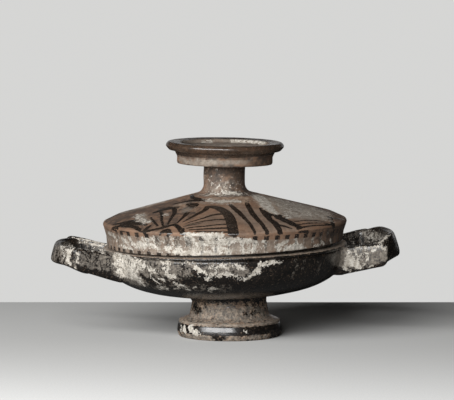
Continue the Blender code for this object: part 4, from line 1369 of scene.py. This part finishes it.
class Wiring:
    """Adds nodes to a node tree. Every method returns the socket that its node puts out."""

    def __init__(self, tree):
        self.tree = tree

    def feed(self, socket, value):
        if isinstance(value, bpy.types.NodeSocket):
            self.tree.links.new(value, socket)
        else:
            socket.default_value = value

    def node(self, kind, inputs, **settings):
        made = self.tree.nodes.new(kind)
        for name, value in settings.items():
            setattr(made, name, value)
        for name, value in inputs.items():
            self.feed(made.inputs[name], value)
        return made

    def math(self, operation, *values, clamp=False):
        inputs = dict(enumerate(values))
        return self.node("ShaderNodeMath", inputs, operation=operation, use_clamp=clamp).outputs[0]

    def dot(self, vector, direction):
        inputs = {0: vector, 1: direction}
        return self.node("ShaderNodeVectorMath", inputs, operation="DOT_PRODUCT").outputs["Value"]

    def span(self, value, low, high, to_low=0.0, to_high=1.0):
        """An eased step from one number to another as the value goes from low to high."""
        inputs = {"Value": value, "From Min": low, "From Max": high, "To Min": to_low, "To Max": to_high}
        return self.node("ShaderNodeMapRange", inputs, interpolation_type="SMOOTHSTEP").outputs["Result"]

    def noise(self, vector, scale, detail, roughness):
        inputs = {"Vector": vector, "Scale": scale, "Detail": detail, "Roughness": roughness}
        return self.node("ShaderNodeTexNoise", inputs).outputs["Fac"]

    def blend(self, share, first, second):
        made = self.node("ShaderNodeMix", {0: share, 6: first, 7: second}, data_type="RGBA")
        return made.outputs[2]

    def attribute(self, name):
        return self.node("ShaderNodeAttribute", {}, attribute_name=name).outputs["Fac"]

    def place(self):
        return self.node("ShaderNodeTexCoord", {}).outputs["Object"]

    def group(self, tree, output, **inputs):
        return self.node("ShaderNodeGroup", inputs, node_tree=tree).outputs[output]


def new_group(name, inputs, outputs):
    """A node group with its sockets, and the wiring, inputs and outputs to fill it with."""
    tree = bpy.data.node_groups.new(name, "ShaderNodeTree")
    for label, kind, value in inputs:
        socket = tree.interface.new_socket(label, in_out="INPUT", socket_type=f"NodeSocket{kind}")
        if value is not None:
            socket.default_value = value
    for label, kind in outputs:
        tree.interface.new_socket(label, in_out="OUTPUT", socket_type=f"NodeSocket{kind}")
    start = tree.nodes.new("NodeGroupInput").outputs
    end = tree.nodes.new("NodeGroupOutput").inputs
    return tree, Wiring(tree), start, end


def make_round_the_axis():
    """Degrees from the middle of the front, height and radius in millimetres, about an axis at Axis X."""
    inputs = [("Vector", "Vector", None), ("Axis X", "Float", 0.0)]
    outputs = [("Degrees", "Float"), ("Height", "Float"), ("Radius", "Float")]
    tree, wire, start, end = new_group("round_the_axis", inputs, outputs)
    to_right = wire.dot(start["Vector"], (math.cos(FRONT), math.sin(FRONT), 0))
    to_right = wire.math("MULTIPLY_ADD", start["Axis X"], -math.cos(FRONT), to_right)
    to_front = wire.dot(start["Vector"], (math.sin(FRONT), -math.cos(FRONT), 0))
    to_front = wire.math("MULTIPLY_ADD", start["Axis X"], -math.sin(FRONT), to_front)
    turn = wire.math("ARCTAN2", to_right, to_front)
    wire.feed(end["Degrees"], wire.math("DEGREES", turn))
    height = wire.dot(start["Vector"], (0, 0, 1000))
    wire.feed(end["Height"], height)
    square = wire.math("MULTIPLY_ADD", to_front, to_front, wire.math("MULTIPLY", to_right, to_right))
    wire.feed(end["Radius"], wire.math("MULTIPLY", wire.math("SQRT", square), 1000.0))
    return tree


def make_ragged_cover():
    """A flaky mask that covers about the share of the surface that Cover says."""
    inputs = [
        ("Vector", "Vector", None),
        ("Cover", "Float", 0.5),
        ("Grain", "Float", 300.0),
        ("Softness", "Float", 0.06),
    ]
    tree, wire, start, end = new_group("ragged_cover", inputs, [("Mask", "Float")])
    large = wire.noise(start["Vector"], start["Grain"], 5.0, 0.62)
    fine = wire.noise(start["Vector"], wire.math("MULTIPLY", start["Grain"], 2.8), 2.0, 0.5)
    mixed = wire.math("MULTIPLY_ADD", fine, 0.45, wire.math("MULTIPLY", large, 0.55))
    level = wire.span(mixed, 0.37, 0.63)
    bar = wire.math("SUBTRACT", 1.0, start["Cover"])
    above = wire.math("SUBTRACT", level, bar)
    soft = start["Softness"]
    mask = wire.span(above, wire.math("MULTIPLY", soft, -1.0), soft)
    present = wire.span(start["Cover"], 0.02, 0.08)
    wire.feed(end["Mask"], wire.math("MULTIPLY", mask, present))
    return tree


def make_brushed_edge():
    """Turns a depth inside a stroke, in millimetres, into the stroke's mask with a slightly ragged edge."""
    inputs = [("Vector", "Vector", None), ("Depth", "Float", 0.0), ("Raggedness", "Float", 0.6)]
    tree, wire, start, end = new_group("brushed_edge", inputs, [("Mask", "Float")])
    rough = wire.math("SUBTRACT", wire.noise(start["Vector"], 700.0, 3.0, 0.6), 0.5)
    edge = wire.math("MULTIPLY_ADD", rough, start["Raggedness"], start["Depth"])
    wire.feed(end["Mask"], wire.span(edge, -0.15, 0.15))
    return tree


def make_wheel_marks():
    """Fine streaks round the axis, as the potter's wheel leaves them, from 0 to 1."""
    inputs = [("Degrees", "Float", 0.0), ("Height", "Float", 0.0), ("Radius", "Float", 0.0)]
    tree, wire, start, end = new_group("wheel_marks", inputs, [("Value", "Float")])
    along = wire.math("MULTIPLY", start["Degrees"], 0.045)
    across = wire.math("ADD", start["Height"], start["Radius"])
    vector = wire.node("ShaderNodeCombineXYZ", {"X": along, "Y": across}).outputs["Vector"]
    wire.feed(end["Value"], wire.span(wire.noise(vector, 0.9, 4.0, 0.7), 0.32, 0.68))
    return tree


def make_mottle():
    """A number that wanders between Low and High over patches, with finer spots on them."""
    inputs = [
        ("Vector", "Vector", None),
        ("Grain", "Float", 200.0),
        ("Low", "Float", 0.8),
        ("High", "Float", 1.2),
    ]
    tree, wire, start, end = new_group("mottle", inputs, [("Value", "Float")])
    wander = wire.noise(start["Vector"], start["Grain"], 6.0, 0.68)
    wire.feed(end["Value"], wire.span(wander, 0.32, 0.68, start["Low"], start["High"]))
    return tree


ROUND_THE_AXIS = make_round_the_axis()
RAGGED_COVER = make_ragged_cover()
BRUSHED_EDGE = make_brushed_edge()
WHEEL_MARKS = make_wheel_marks()
MOTTLE = make_mottle()

# Colours, as linear red, green and blue
CLAY = (0.300, 0.162, 0.092, 1)
CLAY_PALE = (0.540, 0.400, 0.285, 1)
CLAY_DIM = (0.160, 0.092, 0.056, 1)
GLOSS = (0.004, 0.0035, 0.003, 1)
GLOSS_WORN = (0.014, 0.011, 0.009, 1)
GLOSS_THIN = (0.050, 0.037, 0.028, 1)
CRUST = (0.86, 0.81, 0.72, 1)
CRUST_DIRTY = (0.44, 0.39, 0.32, 1)
FILM = (0.42, 0.370, 0.306, 1)
FILM_DIM = (0.20, 0.167, 0.134, 1)
# Dark colour of dirt and pits, also used for painted shade on the lid
DIRT_AND_SHADE = (0.038, 0.028, 0.021, 1)
# The table's colours go from lighter near the front to darker far back, a painted falloff of the light
TABLE_NEAR_LIT = (0.76, 0.76, 0.75, 1)
TABLE_FAR_SHADED = (0.52, 0.52, 0.51, 1)
TABLE_SPECKS = (0.44, 0.44, 0.43, 1)
TABLE_BOUNCE = (0.07, 0.07, 0.07, 1)
BACKDROP = (0.67, 0.67, 0.66, 1)
DIM_LIGHT = (0.016, 0.016, 0.016, 1)


def new_material(name):
    material = bpy.data.materials.new(name)
    material.use_nodes = True
    material.node_tree.nodes.clear()
    wire = Wiring(material.node_tree)
    shader = material.node_tree.nodes.new("ShaderNodeBsdfPrincipled")
    out = material.node_tree.nodes.new("ShaderNodeOutputMaterial")
    material.node_tree.links.new(shader.outputs["BSDF"], out.inputs["Surface"])
    return material, wire, shader


def feed_shader(wire, shader, colour, rough, relief, marks):
    """Feeds the shader its colour, its roughness and a relief in millimetres with faint wheel marks."""
    wire.feed(shader.inputs["Base Color"], colour)
    shader.inputs["Specular IOR Level"].default_value = 0.9
    wire.feed(shader.inputs["Roughness"], rough)
    height = wire.math("MULTIPLY_ADD", marks, 0.03, relief)
    bump = wire.node("ShaderNodeBump", {"Height": height, "Strength": 0.6, "Distance": MM})
    wire.feed(shader.inputs["Normal"], bump.outputs["Normal"])


def wheel_marks(wire, place):
    """The wheel's streaks at a place, and its height and radius in millimetres."""
    made = wire.node("ShaderNodeGroup", {}, node_tree=ROUND_THE_AXIS)
    wire.feed(made.inputs["Vector"], place)
    made.inputs["Axis X"].default_value = SHIFT
    degrees, height, radius = (made.outputs[name] for name in ("Degrees", "Height", "Radius"))
    marks = wire.group(WHEEL_MARKS, "Value", Degrees=degrees, Height=height, Radius=radius)
    return marks, height, radius


def mottle(wire, place, grain, low=0.0, high=1.0):
    return wire.group(MOTTLE, "Value", Vector=place, Grain=grain, Low=low, High=high)


def ragged(wire, place, cover, grain, softness):
    return wire.group(RAGGED_COVER, "Mask", Vector=place, Cover=cover, Grain=grain, Softness=softness)


def speckled(wire, place, softness):
    """Small specks where a coating has come off, thinly."""
    return wire.math("MULTIPLY", ragged(wire, place, 0.08, 620.0, softness), 0.35)


def crusted(wire, place, crust, colour):
    """The colour with crust on it, from dirty to white."""
    white = wire.blend(mottle(wire, place, 420.0), CRUST_DIRTY, CRUST)
    return wire.blend(crust, colour, white)


def pitted(wire, place, cover, strength, colour):
    """The colour with small dark pits over a share of the surface."""
    pits = wire.math("MULTIPLY", ragged(wire, place, cover, 950.0, 0.05), strength)
    return wire.blend(pits, colour, DIRT_AND_SHADE)


def sheen(wire, place):
    """The roughness of the gloss."""
    return mottle(wire, place, 120.0, 0.18, 0.30)


def tongue_masks(wire, place, height):
    """The band's tongues: their black heads and feet, their mottled bodies, and how near a body is."""
    wobble = wire.math("SUBTRACT", wire.noise(place, 500.0, 3.0, 0.6), 0.5)
    away = wire.math("MULTIPLY_ADD", wobble, 1.1, wire.attribute("tongue"))
    uneven = wire.math("MULTIPLY_ADD", wobble, 0.9, height)
    head = wire.math("MULTIPLY", wire.span(uneven, 71.0, 71.4), wire.span(uneven, 73.9, 74.3, 1.0, 0.0))
    foot = wire.span(uneven, 61.9, 62.3, 1.0, 0.0)
    ends = wire.math("MULTIPLY", wire.math("MAXIMUM", head, foot), wire.span(away, 1.5, 1.9, 1.0, 0.0))
    ends = wire.math("MULTIPLY", ends, ragged(wire, place, wire.attribute("tongue_ends"), 520.0, 0.10))
    body = wire.span(away, 0.55, 1.25, 1.0, 0.0)
    body = wire.math("MULTIPLY", body, wire.span(uneven, 73.4, 73.9, 1.0, 0.0))
    body = wire.math("MULTIPLY", body, ragged(wire, place, wire.attribute("tongue_body"), 420.0, 0.30))
    body = wire.math("MULTIPLY", body, 0.72)
    return wire.math("MAXIMUM", ends, body), wire.span(away, 0.6, 2.2, 1.0, 0.0)


def make_painted_clay():
    material, wire, shader = new_material("painted_clay")
    place = wire.place()
    marks, height, radius = wheel_marks(wire, place)
    clay = wire.blend(mottle(wire, place, 90.0), CLAY_DIM, CLAY)
    clay = wire.blend(wire.math("MULTIPLY", marks, mottle(wire, place, 420.0, 0.05, 0.35)), clay, CLAY_PALE)
    flaked = ragged(wire, place, wire.attribute("worn"), 330.0, 0.35)
    clay = wire.blend(wire.math("MULTIPLY", flaked, mottle(wire, place, 240.0, 0.35, 0.95)), clay, CLAY_PALE)
    pale = wire.blend(mottle(wire, place, 260.0), FILM_DIM, FILM)
    # The film mask pales the clay for a dusty film; on the band's right side it thins, as painted shade
    film_and_painted_light = wire.math("MULTIPLY", wire.attribute("film_and_painted_light"), mottle(wire, place, 330.0, 0.65, 1.0))
    colour = wire.blend(film_and_painted_light, clay, pale)
    on_band = wire.math("MULTIPLY", wire.span(radius, 72.0, 72.5), wire.span(height, 74.6, 75.2, 1.0, 0.0))
    tongues, near_body = tongue_masks(wire, place, height)
    tongues = wire.math("MULTIPLY", tongues, on_band)
    near_body = wire.math("MULTIPLY", near_body, on_band)
    stroke = wire.group(BRUSHED_EDGE, "Mask", Vector=place, Depth=wire.attribute("paint"), Raggedness=1.1)
    stroke = wire.math("MULTIPLY", stroke, wire.math("SUBTRACT", 1.0, flaked))
    glazed = wire.span(wire.attribute("gloss"), 0.35, 0.65)
    whole = wire.math("SUBTRACT", 1.0, speckled(wire, place, 0.08))
    dark = wire.math("MULTIPLY", wire.math("MAXIMUM", stroke, glazed), whole)
    black = wire.blend(mottle(wire, place, 260.0), GLOSS_WORN, GLOSS_THIN)
    thin = wire.math("MULTIPLY", glazed, mottle(wire, place, 200.0, 0.08, 0.34))
    colour = wire.blend(wire.math("SUBTRACT", dark, thin, clamp=True), colour, black)
    # The dirt mask darkens the colour for real dirt, and also paints shade on the band, the knob and the stem
    dirt_and_shade = ragged(wire, place, wire.attribute("dirt_and_shade"), 130.0, 0.5)
    colour = wire.blend(wire.math("MULTIPLY", dirt_and_shade, mottle(wire, place, 300.0, 0.55, 0.95)), colour, DIRT_AND_SHADE)
    cover = wire.math("MULTIPLY_ADD", near_body, wire.math("MULTIPLY", film_and_painted_light, 0.42), wire.attribute("crust"))
    crust = ragged(wire, place, cover, 380.0, 0.09)
    colour = crusted(wire, place, crust, colour)
    colour = wire.blend(tongues, colour, black)
    colour = pitted(wire, place, 0.11, 0.55, colour)
    dark = wire.math("MAXIMUM", dark, tongues)
    crust = wire.math("MULTIPLY", crust, wire.math("SUBTRACT", 1.0, tongues))
    rough = wire.span(dark, 0.0, 1.0, 0.76, sheen(wire, place))
    rough = wire.math("MAXIMUM", rough, wire.math("MULTIPLY", crust, 0.9))
    grain = wire.math("MULTIPLY", wire.noise(place, 900.0, 4.0, 0.6), wire.span(dark, 0.0, 1.0, 0.10, 0.03))
    relief = wire.math("MULTIPLY_ADD", crust, 0.12, grain)
    feed_shader(wire, shader, colour, rough, relief, marks)
    return material


def make_black_gloss_clay():
    material, wire, shader = new_material("black_gloss_clay")
    place = wire.place()
    marks, _, _ = wheel_marks(wire, place)
    black = wire.blend(mottle(wire, place, 160.0), GLOSS, GLOSS_WORN)
    clay = wire.blend(mottle(wire, place, 420.0), CLAY_DIM, CLAY_PALE)
    bare = ragged(wire, place, wire.attribute("bare"), 300.0, 0.30)
    colour = wire.blend(wire.math("MAXIMUM", bare, speckled(wire, place, 0.06)), black, clay)
    pale = wire.blend(mottle(wire, place, 420.0), FILM_DIM, FILM)
    # The film mask pales the gloss for a dusty film, and also for the painted highlight on the belly's top
    # edge
    film_and_painted_light = ragged(wire, place, wire.attribute("film_and_painted_light"), 330.0, 0.45)
    colour = wire.blend(wire.math("MULTIPLY", film_and_painted_light, mottle(wire, place, 500.0, 0.45, 0.95)), colour, pale)
    crust = ragged(wire, place, wire.attribute("crust"), 360.0, 0.08)
    colour = crusted(wire, place, crust, colour)
    colour = pitted(wire, place, 0.13, 0.6, colour)
    covered_share = wire.math("MAXIMUM", wire.math("MAXIMUM", bare, film_and_painted_light), crust)
    rough = wire.span(covered_share, 0.0, 1.0, sheen(wire, place), 0.85)
    bumps = wire.span(covered_share, 0.0, 1.0, 0.03, 0.11)
    grain = wire.math("MULTIPLY", wire.noise(place, 800.0, 4.0, 0.6), bumps)
    relief = wire.math("MULTIPLY_ADD", crust, 0.15, grain)
    feed_shader(wire, shader, colour, rough, relief, marks)
    return material


# Floor, lights and camera


def make_table():
    """A pale table top, square to the front view, that ends a little behind the vessel. Its colour darkens
    towards the back, a painted falloff of the light from the front. It throws less light back than the camera
    sees on it."""
    places = ((-1, -TABLE_BEFORE), (1, -TABLE_BEFORE), (1, TABLE_BEHIND), (-1, TABLE_BEHIND))
    corners = np.array([side * TABLE_HALF_WIDTH * TO_RIGHT + back * TO_BACK for side, back in places])
    table = new_object("table_top", corners, [(0, 1, 2, 3)])
    material, wire, shader = new_material("pale_table")
    place = wire.place()
    towards_back = wire.dot(place, tuple(TO_BACK))
    # Painted light falloff: lighter near the front, darker towards the back
    colour = wire.blend(wire.span(towards_back, -0.42, 0.0), TABLE_NEAR_LIT, TABLE_FAR_SHADED)
    colour = wire.blend(mottle(wire, place, 900.0, 0.0, 0.3), colour, TABLE_SPECKS)
    seen = wire.node("ShaderNodeLightPath", {}).outputs["Is Camera Ray"]
    wire.feed(shader.inputs["Base Color"], wire.blend(seen, TABLE_BOUNCE, colour))
    shader.inputs["Roughness"].default_value = 0.9
    shader.inputs["Specular IOR Level"].default_value = 0.2
    table.data.materials.append(material)
    return table


def aimed_object(name, data, aim, azimuth, elevation, distance):
    """A new object that faces its aim from a distance, in a direction given as degrees from the front and
    above level."""
    a, e = math.radians(azimuth + FRONT_DEG), math.radians(elevation)
    out = Vector((math.sin(a) * math.cos(e), -math.cos(a) * math.cos(e), math.sin(e)))
    made = bpy.data.objects.new(name, data)
    made.location = Vector(aim) + out * distance
    made.rotation_mode = "QUATERNION"
    made.rotation_quaternion = out.to_track_quat("Z", "Y")
    bpy.context.scene.collection.objects.link(made)
    return made


def make_light(name, azimuth, elevation, distance, size, power, lit, glossy=True):
    """A rectangular area light at a direction from the front, turned towards the vessel. It lights only the
    objects in lit, and glossy says whether they mirror it."""
    data = bpy.data.lights.new(name, "AREA")
    data.shape = "RECTANGLE"
    data.size, data.size_y = size
    data.energy = power
    lamp = aimed_object(name, data, LIGHTS_AIM, azimuth, elevation, distance)
    lamp.visible_glossy = glossy
    receivers = bpy.data.collections.new(name + "_receivers")
    for piece in lit:
        receivers.objects.link(piece)
    lamp.light_linking.receiver_collection = receivers


def make_surroundings():
    """A dim even light all round, and a pale plain backdrop where the camera looks past the table."""
    world = bpy.data.worlds.new("studio")
    world.use_nodes = True
    world.node_tree.nodes.clear()
    wire = Wiring(world.node_tree)
    seen = wire.node("ShaderNodeLightPath", {}).outputs["Is Camera Ray"]
    colour = wire.blend(seen, DIM_LIGHT, BACKDROP)
    shade = wire.node("ShaderNodeBackground", {"Color": colour})
    out = world.node_tree.nodes.new("ShaderNodeOutputWorld")
    world.node_tree.links.new(shade.outputs[0], out.inputs["Surface"])
    bpy.context.scene.world = world


def make_camera():
    aim = Vector(TO_RIGHT) * CAMERA_AIM_RIGHT + Vector((0, 0, CAMERA_AIM_HEIGHT))
    data = bpy.data.cameras.new("camera")
    data.lens = CAMERA_LENS
    data.sensor_width = 36
    data.clip_start = 0.1
    data.clip_end = 20
    camera = aimed_object("camera", data, aim, 0, CAMERA_ELEVATION_DEG, CAMERA_DISTANCE)
    bpy.context.scene.camera = camera


def finish_piece(piece, node, material):
    piece.data.materials.clear()
    piece.data.materials.append(material)
    piece.data.shade_smooth()
    piece.data.set_sharp_from_angle(angle=math.radians(SHARP_DEG))
    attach(piece, "root")
    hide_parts(node)


lid = make_lid()
body = make_body()
finish_piece(lid, "lid", make_painted_clay())
finish_piece(body, "bowl", make_black_gloss_clay())
table = make_table()
make_surroundings()
make_light("window", -27, 18, 1.6, (2.2, 0.6), 37, [lid, body])
make_light("window_on_table", -27, 22, 1.6, (1.5, 0.8), 60, [table])
make_light("back_left", -150, 30, 1.8, (1.2, 1.0), 2.5, [lid, body], glossy=False)
make_light("back_right", 150, 30, 1.8, (1.2, 1.0), 2.0, [lid, body], glossy=False)
make_light("back_middle", 180, 8, 1.8, (1.2, 1.0), 10, [lid, body], glossy=False)
make_light("card_behind", 180, 6, 1.8, (2.4, 0.45), 1.5, [lid, body])
make_camera()
bpy.context.scene.view_settings.view_transform = "Standard"
